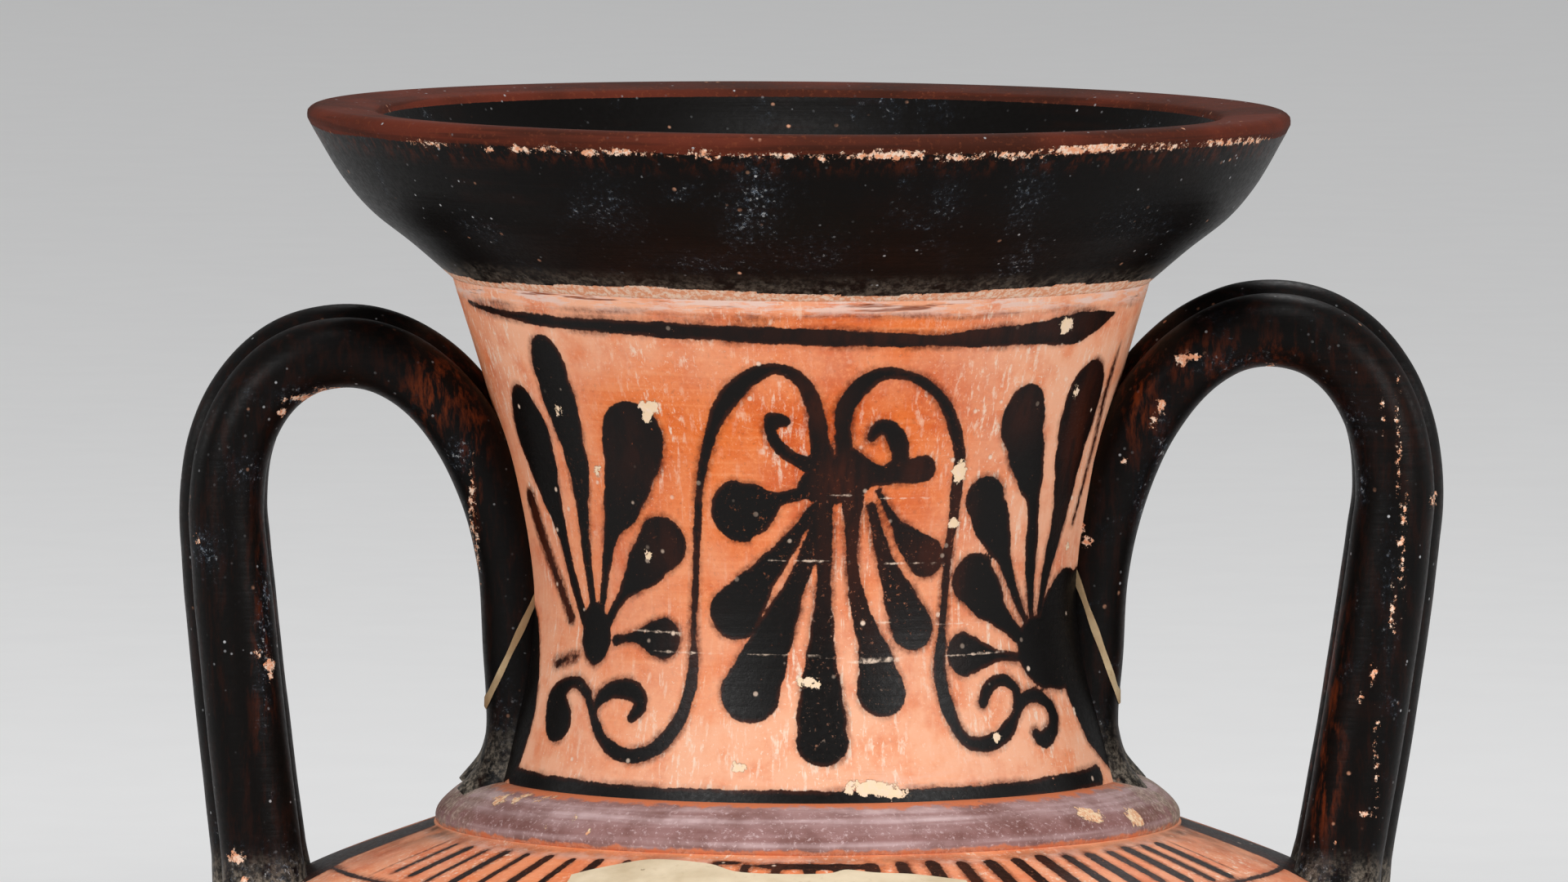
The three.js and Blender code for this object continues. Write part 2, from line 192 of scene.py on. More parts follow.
def clayPaint(name):
    # orange clay with painted black ornament. On the points, ink, chip and scratch are distances in
    # millimetres, and pale, thin, scuff, wear and the painted shade are amounts from 0 to 1. The painted
    # shade darkens the joints and the sides under the handles; pale holds real pale clay and, on the neck
    # and shoulder, a painted sheen towards the handles
    f = Finish(name)
    noise, span, times = f.noise, f.span, f.times
    mottle = noise(70, 5, 0.62)
    patch = noise(190, 4, 0.6, shift=(0.2, 0.5, 0.1))
    fine = noise(1500, 4, 0.7)
    drips = noise(1500, 3, 0.6, stretch=(1, 1, 0.07))
    dripZone = noise(75, 3, 0.6, stretch=(1, 1, 0.4), shift=(0.3, 0.1, 0))
    sweep = noise(1500, 2, 0.5, stretch=(0.05, 0.05, 1))
    pale, wear, thin = (f.attribute(label) for label in ("pale", "wear", "thin"))
    f.lay(span(mottle, 0.36, 0.62), "clay")
    f.lay(span(patch, 0.45, 0.7, 0, 0.35), "warm")
    f.lay(span(fine, 0.5, 0.72, 0, 0.6), "warm")
    f.lay(span(fine, 0.3, 0.44, 0.4, 0), "shade")
    f.lay(times(span(sweep, 0.5, 0.7, 0, 0.4), span(mottle, 0.3, 0.6)), "warm")
    f.lay(times(pale, span(patch, 0.25, 0.6, 0.4, 1)), "peach")
    dripMask = times(span(drips, 0.54, 0.64), span(dripZone, 0.44, 0.6, 0.12, 0.9))
    f.lay(times(dripMask, span(fine, 0.35, 0.6, 0.2, 1)), "chalk")
    dustNoise = noise(2300, 3, 0.8, shift=(0.4, 0, 0.3))
    dust = times(span(dustNoise, 0.6, 0.68), span(dripZone, 0.36, 0.6, 0.25, 1))
    f.lay(times(dust, f.plus(times(pale, 0.45), 0.5)), "chalk")
    f.lay(times(wear, span(noise(800, 5, 0.75, stretch=(0.16, 0.16, 1)), 0.44, 0.58)), "worn")
    rubNoise = noise(1000, 4, 0.7, stretch=(0.05, 0.05, 1), shift=(0, 0, 0.6))
    f.lay(times(wear, span(rubNoise, 0.56, 0.66)), "rubbed")
    # painted shade: a dark brown laid at the joints and under the handles, where shade falls
    f.lay(times(f.attribute("grime"), span(noise(260, 4, 0.6), 0.3, 0.65, 0.25, 1)), "grime")

    # the brush's edge, soft in places, and the slip itself, brown where it lies thin
    edge = f.ragged("ink", noise(1300, 4, 0.7), 0.6)
    featherMap = noise(110, 3, 0.6, shift=(0.6, 0.2, 0))
    feather = f.plus(span(featherMap, 0.4, 0.6, 0.2, 0.9), times(thin, 0.4), clamp=True)
    halo = times(span(edge, -0.2, 0.75, 0.95, 0), span(fine, 0.36, 0.6, 1, 0.55))
    f.lay(times(halo, feather), "halo")
    streak = noise(480, 3, 0.6, stretch=(1, 1, 0.25), shift=(0.2, 0, 0))
    inner = times(span(edge, -0.75, -0.05, 0, 0.75), span(patch, 0.4, 0.6, 0.2, 1))
    inkColour = f.blend(f.most(times(thin, span(streak, 0.35, 0.6, 0.3, 1)), inner), "black", "thin")
    scuffNoise = noise(1700, 3, 0.75, shift=(0.1, 0.7, 0))
    inkWear = times(span(scuffNoise, 0.69, 0.75), span(mottle, 0.35, 0.6, 0.15, 0.8))
    scuff = times(f.attribute("scuff"), span(scuffNoise, 0.6, 0.68))
    ink = span(f.plus(edge, times(feather, 0.2)), -0.1, 0.1, 1, 0)
    ink = times(ink, f.less(1.0, f.most(inkWear, scuff)))
    f.lay(ink, inkColour)

    small = f.specks(620, (0.12, 0.26), (0.78, 0.84))
    big = f.specks(210, (0.07, 0.13), (0.88, 0.91), shift=(0.3, 0.1, 0.2))
    specks = times(f.most(small, big), span(dripZone, 0.4, 0.56, 0.2, 1))
    f.lay(times(specks, 0.9), "chalk")
    scratchEdge = f.plus(f.attribute("scratch"), times(noise(800, 2, 0.6, shift=(0.9, 0, 0)), 0.7))
    f.lay(times(span(scratchEdge, 0.28, 0.5, 0.8, 0), span(fine, 0.4, 0.55, 0.2, 1)), "chalk")
    chips = span(f.ragged("chip", noise(1100, 3, 0.7), 2.2), -0.08, 0.08, 1, 0)
    f.lay(chips, f.blend(span(fine, 0.4, 0.7), "cream", "chalk"))

    roughness = f.plus(f.plus(times(ink, -0.24), span(fine, 0.3, 0.7, 0.58, 0.72)), times(chips, 0.2))
    height = f.plus(f.plus(times(fine, 0.35), times(sweep, 0.3)), times(ink, 0.2))
    height = f.less(height, f.most(chips, times(specks, 0.6)))
    return f.shader(roughness, height, depth=0.00014, specular=0.16)


def blackGloss(name):
    # glossy black slip. On the points, band is over 0 where the matte red-brown band lies, chip is a
    # distance in millimetres, and thin, bloom and crust are amounts from 0 to 1
    f = Finish(name, "black")
    noise, span, times = f.noise, f.span, f.times
    cloud = noise(26, 4, 0.6)
    fine = noise(1400, 4, 0.7)
    turned = noise(1100, 2, 0.5, stretch=(0.03, 0.03, 1))
    patch = noise(55, 4, 0.6, shift=(0.4, 0.2, 0))
    f.lay(times(times(span(patch, 0.5, 0.66), span(turned, 0.42, 0.62, 0.1, 1)), 0.4), "warmBlack")
    streak = noise(700, 4, 0.7, stretch=(1, 1, 0.22), shift=(0.3, 0.1, 0))
    f.lay(times(f.attribute("thin"), span(streak, 0.46, 0.68)), "rust")
    bloomMap = noise(85, 5, 0.75, shift=(0.15, 0.6, 0.2), warp=0.6)
    bloomFine = noise(1300, 5, 0.85)
    bloomHere = f.most(span(bloomMap, 0.55, 0.72, 0, 0.6), f.attribute("bloom"))
    bloom = times(bloomHere, span(f.plus(bloomFine, times(bloomHere, 0.06)), 0.6, 0.68))
    f.lay(times(bloomHere, span(bloomFine, 0.4, 0.7, 0, 0.35)), "haze")
    f.lay(bloom, f.blend(span(fine, 0.45, 0.6), "bloom", "bloomPale"))
    crust = times(f.attribute("crust"), span(noise(420, 5, 0.7, shift=(0.2, 0.5, 0)), 0.36, 0.56))
    f.lay(times(crust, 0.75), f.blend(span(fine, 0.4, 0.62), "crust", "crustPale"))

    band = span(f.ragged("band", fine, 0.5), -0.08, 0.08, 0, 1)
    bandColour = f.blend(span(cloud, 0.35, 0.65), "lipRed", "lipDark")
    bandColour = f.blend(span(turned, 0.5, 0.62, 0, 0.5), bandColour, "lipLine")
    f.lay(band, f.blend(span(fine, 0.54, 0.7, 0, 0.5), bandColour, "lipFleck"))

    cluster = span(noise(85, 5, 0.7, shift=(0.8, 0.1, 0.3)), 0.46, 0.64)
    dots = times(f.specks(1250, (0.14, 0.3), (0.8, 0.9), shift=(0.2, 0.2, 0.5)), 0.9)
    f.lay(times(dots, span(cluster, 0, 0.8, 0.08, 1)), "dot")
    big = f.specks(200, (0.09, 0.17), (0.86, 0.9), shift=(0.3, 0.4, 0.1), fray=fine)
    specks = times(f.most(f.specks(640, (0.08, 0.24), (0.82, 0.88)), big), cluster)
    f.lay(times(specks, 0.85), "peach")
    chips = span(f.ragged("chip", noise(1100, 4, 0.75), 2.8), -0.1, 0.08, 1, 0)
    f.lay(chips, f.blend(span(fine, 0.42, 0.6), "chip", "chalk"))

    roughness = f.plus(span(fine, 0.3, 0.7, 0.34, 0.46), times(band, 0.3))
    roughness = f.plus(roughness, times(f.most(chips, bloom), 0.35))
    height = f.plus(times(turned, 0.5), times(fine, 0.2))
    height = f.less(height, times(f.most(chips, times(specks, 0.5)), 1.2))
    return f.shader(roughness, height, depth=0.00012, specular=0.07)


def purpleWash(name):
    # matte purple-red wash. On the points, rim and chip are distances in millimetres, and pale and crust
    # are amounts from 0 to 1; on the collar, pale carries painted highlight and shade
    f = Finish(name, "purpleDark")
    noise, span, times = f.noise, f.span, f.times
    cloud = noise(110, 4, 0.65)
    rings = noise(1300, 2, 0.5, stretch=(0.04, 0.04, 1))
    fine = noise(1700, 4, 0.75)
    f.lay(span(cloud, 0.35, 0.62), "purple")
    chalky = times(span(rings, 0.35, 0.7, 0.25, 1), span(cloud, 0.3, 0.65, 0.35, 1))
    # lavender where pale is high: on the collar this is painted highlight, on the fillet an even chalky tone
    f.lay(times(f.attribute("pale"), chalky), "lavender")
    f.lay(span(fine, 0.54, 0.68, 0, 0.75), "lavender")
    f.lay(span(f.ragged("rim", noise(420, 3, 0.65), 1.6), -0.15, 0.25, 1, 0), "rim")
    crust = times(f.attribute("crust"), span(noise(300, 5, 0.7, shift=(0.1, 0.3, 0)), 0.4, 0.56))
    f.lay(times(crust, 0.85), f.blend(span(fine, 0.42, 0.6), "dirt", "dirtPale"))
    f.lay(times(f.specks(480, (0.1, 0.2), (0.85, 0.9)), 0.8), "peach")
    chips = span(f.ragged("chip", noise(800, 3, 0.7), 2.4), -0.12, 0.12, 1, 0)
    f.lay(chips, f.blend(span(fine, 0.4, 0.6), "cream", "collarChip"))
    height = f.less(f.plus(times(rings, 0.5), times(fine, 0.4)), times(chips, 0.8))
    return f.shader(span(fine, 0.3, 0.7, 0.6, 0.76), height, depth=0.0002, specular=0.3)


def plasterFill(name, light, shade):
    # cream plaster, smoothed by hand
    f = Finish(name, shade)
    noise, span, times = f.noise, f.span, f.times
    fine = noise(900, 4, 0.7)
    tool = noise(500, 3, 0.55, stretch=(0.15, 0.15, 1))
    f.lay(span(noise(70, 4, 0.6), 0.35, 0.65), light)
    f.lay(span(fine, 0.58, 0.72, 0, 0.5), shade)
    pits = f.specks(500, (0.1, 0.2), (0.86, 0.9))
    f.lay(times(pits, 0.5), "pit")
    height = f.less(f.plus(times(tool, 0.6), times(fine, 0.5)), pits)
    return f.shader(span(fine, 0.3, 0.7, 0.74, 0.9), height, depth=0.0002, specular=0.25)


finishes = {
    "clay": clayPaint("paintedClay"),
    "black": blackGloss("blackSlip"),
    "purple": purpleWash("purpleWash"),
    "plaster": plasterFill("plasterFill", "plaster", "plasterShade"),
    "mend": plasterFill("mendFiller", "mend", "mendShade"),
}
print("materials ready")

# outlines, in millimetres, bottom up


def lengthAlong(line):
    # how far along the line each of its points lies
    return np.concatenate([[0], np.cumsum(np.linalg.norm(np.diff(line, axis=0), axis=1))])


def smoothLine(knots, step):
    # a smooth line through the knots, with points about one step apart
    knots = np.array(knots, float)
    last = len(knots) - 1
    spots = np.linspace(0, last, 60 * last + 1)
    k = np.minimum(spots.astype(int), last - 1)
    w = (spots - k)[:, None]
    p0, p1, p2, p3 = (knots[np.clip(k + i, 0, last)] for i in (-1, 0, 1, 2))
    v0, v1 = (p2 - p0) / 2, (p3 - p1) / 2
    path = (2 * (p1 - p2) + v0 + v1) * w**3 + (3 * (p2 - p1) - 2 * v0 - v1) * w**2 + v0 * w + p1
    length = lengthAlong(path[:, :2])
    count = max(2, int(round(length[-1] / step)) + 1)
    along = np.linspace(0, length[-1], count)
    return np.stack([np.interp(along, length, path[:, i]) for i in range(path.shape[1])], axis=1)


neckSize = {
    "base": 210.0,
    "knots": [(42.8, 0), (39.8, 9.8), (36.4, 28), (37.9, 44.1), (40.4, 55.3), (44.8, 70)],
    "wall": 6.5,
    "columns": 500,
    "step": 0.5,
}
mouthSize = {
    "knots": [(44.8, 280), (49.9, 284.4), (55.05, 288.5), (58.7, 292.8), (61.8, 298), (63.1, 300.4)],
    "lip": [(63.1, 300.4), (63.05, 301.3), (62.3, 301.9), (61.5, 302), (57.5, 301.8), (54.7, 301.4),
            (54.1, 300.9)],
    "inside": [(54.1, 300.9), (51.5, 296.7), (45.7, 289.7), (40.4, 283.9), (38.3, 280)],
    "columns": 760,
    "step": 0.5,
}
collarSize = {
    "face": [(47.3, 209.7), (47.9, 210.5), (47.7, 211.9), (46.2, 213.6), (44.0, 215.1), (41.0, 216.1),
             (39.6, 215.9)],
    "columns": 480,
    "step": 0.4,
}
shoulderSize = {
    "knots": [(97, 158), (93.1, 176.7), (82.4, 192.3), (66.7, 202.7), (48.2, 210)],
    "wall": 5.5,
    "columns": 620,
    "step": 0.8,
}
bodySize = {
    "knots": [(27, 21), (31.2, 25), (56.4, 51.6), (79.5, 86.2), (93.15, 123.4), (97, 158)],
    "wall": 5.5,
    "columns": 600,
    "step": 1.3,
}
footSize = {
    "hollow": [(0, 12), (12, 11.6), (23.4, 11), (32, 9.2), (38, 6.3), (41, 0.4), (41.4, 0)],
    "face": [(41.4, 0), (49.4, 0), (50.6, 0.6), (52, 4.2), (50.4, 9.45), (40.9, 14.7), (32.5, 21)],
    "columns": 360,
    "step": 0.7,
}
filletSize = {
    "face": [(30, 20.6), (32.6, 21.1), (33.5, 23.1), (32.6, 24.9), (31, 25.8)],
    "columns": 240,
    "step": 0.4,
}


def inward(line, distance):
    # the same line moved to the left of its direction
    tangent = np.gradient(line, axis=0)
    tangent /= np.linalg.norm(tangent, axis=1)[:, None]
    return line + distance * np.stack([-tangent[:, 1], tangent[:, 0]], axis=1)


# geometry node trees


class Tree:
    # a geometry node tree with named inputs, and short ways to add nodes to it
    def __init__(self, name, inputs):
        self.tree = bpy.data.node_groups.new(name, "GeometryNodeTree")
        sockets = self.tree.interface
        sockets.new_socket("Geometry", in_out="INPUT", socket_type="NodeSocketGeometry")
        sockets.new_socket("Geometry", in_out="OUTPUT", socket_type="NodeSocketGeometry")
        for label, kind in inputs:
            sockets.new_socket(label, in_out="INPUT", socket_type="NodeSocket" + kind)
        self.start = self.tree.nodes.new("NodeGroupInput").outputs

    def add(self, kind, inputs=(), out=0, **settings):
        # inputs maps socket names or numbers to sockets or plain values
        made = self.tree.nodes.new(kind)
        for key, value in settings.items():
            setattr(made, key, value)
        for place, value in dict(inputs).items():
            if isinstance(value, bpy.types.NodeSocket):
                self.tree.links.new(value, made.inputs[place])
            else:
                made.inputs[place].default_value = value
        return made.outputs[out] if made.outputs else None

    def maths(self, operation, a, b=0.0):
        return self.add("ShaderNodeMath", {0: a, 1: b}, operation=operation)

    def scaled(self, vector, amount):
        return self.add("ShaderNodeVectorMath", {0: vector, "Scale": amount}, operation="SCALE")

    def mark(self, geometry, name, value):
        inputs = {"Geometry": geometry, "Name": name, "Value": value}
        return self.add("GeometryNodeStoreNamedAttribute", inputs, data_type="FLOAT", domain="POINT")

    def finish(self, geometry):
        # ends the tree with real geometry, smooth and painted with the tree's Finish
        real = self.add("GeometryNodeRealizeInstances", {0: geometry})
        smooth = self.add("GeometryNodeSetShadeSmooth", {0: real})
        painted = self.add("GeometryNodeSetMaterial", {0: smooth, "Material": self.start["Finish"]})
        self.add("NodeGroupOutput", {0: painted})
        return self.tree


def wheelTree():
    # turns an outline of loose points round the axis, with a hand's wobble and fine ridges from the wheel
    t = Tree("wheel", [("Columns", "Int"), ("Wobble", "Float"), ("Ridges", "Float"), ("Finish", "Material")])
    add, maths = t.add, t.maths
    source, columns = t.start["Geometry"], t.start["Columns"]
    rows = add("GeometryNodeAttributeDomainSize", {0: source}, "Point Count")
    counts = {"Vertices X": maths("ADD", columns, 1.0), "Vertices Y": rows}
    grid = add("GeometryNodeMeshGrid", counts, "Mesh")
    index = add("GeometryNodeInputIndex")
    column = maths("FLOOR", maths("DIVIDE", maths("ADD", index, 0.5), rows))
    row = maths("SUBTRACT", index, maths("MULTIPLY", column, rows))
    position = add("GeometryNodeInputPosition")
    point = add("GeometryNodeSampleIndex", {"Geometry": source, "Value": position, "Index": row},
                data_type="FLOAT_VECTOR")
    radius = add("ShaderNodeSeparateXYZ", {0: point})
    height = add("ShaderNodeSeparateXYZ", {0: point}, 2)
    turn = maths("MULTIPLY", maths("DIVIDE", maths("MODULO", column, columns), columns), 2 * math.pi)
    across, along = maths("SINE", turn), maths("MULTIPLY", maths("COSINE", turn), -1.0)
    unit = add("ShaderNodeCombineXYZ", {0: across, 1: along})
    place = add("ShaderNodeCombineXYZ",
                {0: maths("MULTIPLY", radius, across), 1: maths("MULTIPLY", radius, along), 2: height})
    flat = add("ShaderNodeVectorMath", {0: place, 1: (0.08, 0.08, 1)}, operation="MULTIPLY")
    push = 0.0
    for vector, scale, detail, amount in ((place, 22, 2, "Wobble"), (flat, 420, 1, "Ridges")):
        noise = add("ShaderNodeTexNoise", {"Vector": vector, "Scale": scale, "Detail": detail}, "Fac")
        push = maths("ADD", maths("MULTIPLY", maths("SUBTRACT", noise, 0.5), t.start[amount]), push)
    push = maths("MULTIPLY", push, maths("GREATER_THAN", radius, 1e-5))  # the axis stays closed
    total = add("ShaderNodeVectorMath", {0: place, 1: t.scaled(unit, push)}, operation="ADD")
    moved = add("GeometryNodeSetPosition", {"Geometry": t.mark(grid, "row", row), "Position": total})
    return t.finish(add("GeometryNodeMergeByDistance", {"Geometry": moved, "Distance": 2e-6}))


def grow(name, source, tree, values):
    # runs a tree on a source object and keeps the result as a plain mesh
    bpy.context.scene.collection.objects.link(source)
    modifier = source.modifiers.new("grow", "NODES")
    modifier.node_group = tree
    for item in tree.interface.items_tree:
        if item.in_out == "INPUT" and item.name in values:
            modifier[item.identifier] = values[item.name]
    bpy.context.view_layer.update()
    evaluated = source.evaluated_get(bpy.context.evaluated_depsgraph_get())
    mesh = bpy.data.meshes.new_from_object(evaluated)
    mesh.name = name
    bpy.data.objects.remove(source)
    return placed(name, mesh)


def placed(name, mesh):
    made = bpy.data.objects.new(name, mesh)
    bpy.context.scene.collection.objects.link(made)
    return made


def outwards(mesh):
    work = bmesh.new()
    work.from_mesh(mesh)
    bmesh.ops.recalc_face_normals(work, faces=work.faces)
    work.to_mesh(mesh)
    work.free()


wheel = wheelTree()


def turned(name, outline, columns, finish, wobble=0.2, ridges=0.05):
    # outline is a closed loop, or runs from axis to axis, in millimetres
    points = [(r * mm, 0, z * mm) for r, z in outline]
    mesh = bpy.data.meshes.new(name + "Outline")
    mesh.from_pydata(points, [], [])
    values = {"Columns": columns, "Wobble": wobble * mm, "Ridges": ridges * mm, "Finish": finish}
    made = grow(name, bpy.data.objects.new(name + "Outline", mesh), wheel, values)
    outwards(made.data)
    made.data.set_sharp_from_angle(angle=math.radians(50))
    return made


def pointsOf(mesh):
    # a mesh's points in millimetres
    co = np.empty(len(mesh.vertices) * 3)
    mesh.vertices.foreach_get("co", co)
    return co.reshape(-1, 3) / mm


def surfaceOf(made):
    # angle from the front in degrees, height and radius in millimetres, and the outline row of each point
    mesh = made.data
    co = pointsOf(mesh)
    angle = np.degrees(np.arctan2(co[:, 0], -co[:, 1]))
    row = np.zeros(len(co))
    if "row" in mesh.attributes:
        mesh.attributes["row"].data.foreach_get("value", row)
    return angle, co[:, 2], np.hypot(co[:, 0], co[:, 1]), row


def setAmounts(made, **amounts):
    # keeps one value a point under each name; a single number goes to every point
    for name, values in amounts.items():
        layer = made.data.attributes.new(name, "FLOAT", "POINT")
        values = np.broadcast_to(np.asarray(values, np.float32), len(layer.data))
        layer.data.foreach_set("value", np.ascontiguousarray(values))


def distanceTo(x, y, strokes, far=6.0):
    # signed distance from each point to the nearest stroke's edge. A stroke is a list of (x, y, half width)
    best = np.full(len(x), far)
    for stroke in strokes:
        line = np.array(stroke, float)
        reach = far + line[:, 2].max()
        box = ((x > line[:, 0].min() - reach) & (x < line[:, 0].max() + reach)
               & (y > line[:, 1].min() - reach) & (y < line[:, 1].max() + reach))
        spots = np.nonzero(box)[0]
        px, py = x[spots], y[spots]
        near = best[spots]
        for (ax, ay, aw), (bx, by, bw) in zip(line[:-1], line[1:]):
            dx, dy = bx - ax, by - ay
            t = np.clip(((px - ax) * dx + (py - ay) * dy) / max(dx * dx + dy * dy, 1e-9), 0, 1)
            near = np.minimum(near, np.hypot(px - ax - t * dx, py - ay - t * dy) - aw - t * (bw - aw))
        best[spots] = near
    return best


def blots(x, y, marks, far=6.0):
    # signed distance to a few ellipses given as (x, y, half width, half height)
    best = np.full(len(x), far)
    for cx, cy, rx, ry in marks:
        away = np.hypot((x - cx) / rx, (y - cy) / ry)
        best = np.minimum(best, (away - 1) * min(rx, ry))
    return best


def soft(x, y, marks):
    # sum of soft spots given as (x, y, half width, half height, strength)
    total = np.zeros(len(x))
    for cx, cy, rx, ry, amount in marks:
        total += amount * np.exp(-((x - cx) / rx) ** 2 - ((y - cy) / ry) ** 2)
    return np.clip(total, 0, 1)


def ramp(x, low, high):
    t = np.clip((x - low) / (high - low), 0, 1)
    return t * t * (3 - 2 * t)


# the neck's ornament

# Strokes are (degrees from the front, millimetres over the neck's base, half width)
neckOrnament = {
    "heart": [(1, 46, 1.6), (6, 47, 3.1), (11, 47, 1.8)],
    "knob": [(9.5, 47.5, 1.5), (17, 47.5, 1.3), (23, 48.2, 1.9)],
    "leaves": [
        [(0.5, 45.4, 0.9), (-5.5, 44.4, 1.1), (-8.5, 43.5, 2.6), (-12, 43, 4)],
        [(2, 43.5, 0.8), (-3.5, 38.5, 1.3), (-9.3, 34, 2.3), (-14, 30, 3.4)],
        [(3, 43, 0.8), (0.5, 37.3, 1.2), (-3.3, 31.6, 1.8), (-7.2, 26, 2.9), (-11, 20, 3.7)],
        [(4.2, 44.5, 1.1), (4, 39.4, 1.1), (3.5, 31, 1.3), (2.8, 22.8, 2.3), (2.8, 14, 3.6)],
        [(9.3, 45, 1.5), (9.3, 36.2, 0.9), (11, 30, 1.4), (13.6, 24.8, 2.1), (14.5, 20, 3.3)],
        [(13, 43.5, 0.8), (15.6, 37.2, 1.2), (18.7, 32.4, 2.1), (21.6, 28, 2.9)],
        [(14.2, 45.5, 0.5), (17.8, 41.4, 0.9), (21.2, 38.7, 1.9), (24.5, 36.8, 2.7)],
    ],
    "leftHoop": [
        (4, 48.3, 1.5), (3, 52, 1.3), (2, 56.4, 1.2), (-0.3, 59.8, 0.9), (-4.4, 61.3, 0.8),
        (-9, 60.2, 1.2), (-14, 56.8, 1.3), (-17.3, 52.4, 0.9), (-20, 46.7, 0.7), (-21.3, 40.7, 0.6),
        (-22.4, 33.8, 0.6), (-23, 28, 0.6), (-22.8, 23.7, 0.8), (-23.4, 19.5, 0.9), (-25.6, 15.5, 1.1),
        (-30, 12.3, 1.1), (-35.8, 11.4, 1.1), (-41.5, 13, 0.9), (-45.3, 16.2, 0.8), (-47.5, 18.7, 0.7),
    ],
    "rightHoop": [
        (8, 48.3, 1.5), (7.3, 52.4, 1.2), (7.5, 56, 1.2), (9.6, 58.5, 1.3), (13, 60.4, 1.1),
        (17, 60.6, 0.7), (21.5, 59.4, 0.8), (25.6, 57, 0.9), (28.6, 53.4, 0.9), (30.5, 49.5, 0.9),
        (30.4, 44.8, 0.9), (30.2, 41, 0.8), (29.5, 38, 0.8), (29, 32, 0.7), (28, 26.5, 0.8),
        (27, 22.3, 1.1), (27.8, 18, 1.1), (30, 14.3, 0.9), (32.5, 13, 1.1), (36.6, 13, 1.2),
        (40.7, 14.2, 1.1), (44, 16.4, 0.9), (46.3, 18, 0.8),
    ],
    "curls": [
        [
            (3, 48.3, 1.3), (-1, 49.5, 0.9), (-4, 50.8, 0.9), (-6, 53, 0.9), (-5.5, 54.7, 1.1),
            (-3.3, 54.5, 0.8),
        ],
        [
            (9, 49.9, 1.3), (12.3, 48, 1.4), (16, 47.7, 1.3), (18.2, 49.2, 1.2), (17.8, 51.3, 1.3),
            (16.2, 53.2, 1.3), (14, 53.7, 1.1), (12.6, 52.5, 0.9),
        ],
        [
            (-45, 17, 0.8), (-43.3, 18.7, 1.1), (-39.5, 19.7, 1.3), (-35.4, 19.4, 1.4),
            (-33.7, 17.8, 1.1), (-35.4, 16.3, 0.9),
        ],
        [(-47.5, 18.7, 0.9), (-51, 20, 0.9), (-54.7, 19.4, 1.2), (-57, 17.4, 1.7), (-55.4, 15, 2)],
        [(44.6, 17, 0.9), (45, 19.3, 0.9), (41.8, 20.7, 0.9), (38, 20, 0.9), (36, 18, 0.9)],
        [
            (46.2, 18, 1), (50.5, 18.4, 1.1), (54.2, 16.7, 1.1), (54, 14.3, 1.1), (50.2, 12.8, 1.2),
            (48.4, 13.6, 1),
        ],
    ],
    "leftFan": [
        [(-47.4, 28.8, 1.5), (-47, 26.6, 2.2), (-46.8, 24.2, 1.6), (-46.6, 22.6, 0.5)],
        [
            (-50, 27, 0.8), (-54.2, 33, 0.9), (-56.9, 40, 1.3), (-59.6, 46, 2.1), (-61.6, 51.5, 2.5),
            (-62, 55.2, 1.7),
        ],
        [
            (-48, 29.5, 0.7), (-49, 36, 0.9), (-48.4, 43, 1.3), (-48.2, 48, 1.7), (-49.2, 54, 2.1),
            (-50.2, 59.5, 2.3), (-50.4, 62, 2),
        ],
        [
            (-45.4, 30, 0.7), (-43.6, 35, 0.8), (-41.2, 39.6, 1.4), (-37.6, 43.6, 2.6),
            (-34.6, 48.6, 3.7), (-33.2, 52.2, 4),
        ],
        [(-43.6, 28, 0.8), (-40, 31.2, 0.9), (-34, 35.2, 2.4), (-29.4, 38.4, 3.5)],
        [(-41.2, 25.7, 0.9), (-36.6, 26.3, 0.8), (-30, 26.3, 2.8)],
    ],
    "leftWorn": [
        [(-55.2, 28, 1.1), (-60.4, 33, 1.1), (-65, 38, 1.3), (-67.8, 42.6, 1.4)],
        [(-52.6, 23.3, 0.7), (-59.2, 22, 0.9)],
    ],
    "rightFan": [
        [(53.6, 24, 3.4), (56, 23, 3.6), (61, 24.6, 4.2), (66, 28, 4)],
        [(48.5, 23.2, 0.9), (40.7, 23.8, 0.9), (33.3, 24.2, 3)],
        [(49, 25.3, 1.1), (42.3, 29, 1.7), (39, 31.4, 2.6), (36, 33.5, 3.5)],
        [(50, 28, 0.7), (47, 31.4, 0.9), (43, 36.7, 1.4), (40, 40.3, 2.5), (37.4, 43.8, 3)],
        [
            (52, 28.6, 0.7), (51.5, 35.5, 1.2), (50.6, 42.4, 1.2), (48, 47.6, 2.2), (44.6, 53, 3),
            (44.3, 55.6, 2.4),
        ],
        [
            (55, 28.7, 0.8), (57.2, 33.8, 1.1), (60, 40, 1.5), (61, 45.7, 1.8), (61.4, 50.5, 2.3),
            (62.4, 55.7, 2.6), (63.2, 58.8, 1.5),
        ],
    ],
    "rightWorn": [
        [(66.8, 39.7, 0.6), (72, 49, 0.7), (72, 55.2, 0.9), (72.5, 59.4, 0.8), (73.2, 62.5, 0.3)],
    ],
    "topLine": [
        (-75, 67.5, 0.4), (-49.6, 66.4, 0.8), (-34.5, 66.2, 1), (-22, 66, 1.1), (5.7, 65.3, 1.2),
        (23, 64.8, 0.9), (28.3, 64.9, 1.2), (46, 65.3, 1.7), (54.6, 65.7, 2.1), (65.6, 67, 0.2),
    ],
    "lowLine": [(-69, 7.2, 1.3), (-40, 6.7, 1.25), (0, 6.6, 1.2), (40, 6.9, 1.15), (66.5, 7.4, 1.35)],
}
arcScale = math.radians(38)  # millimetres to a degree round the neck


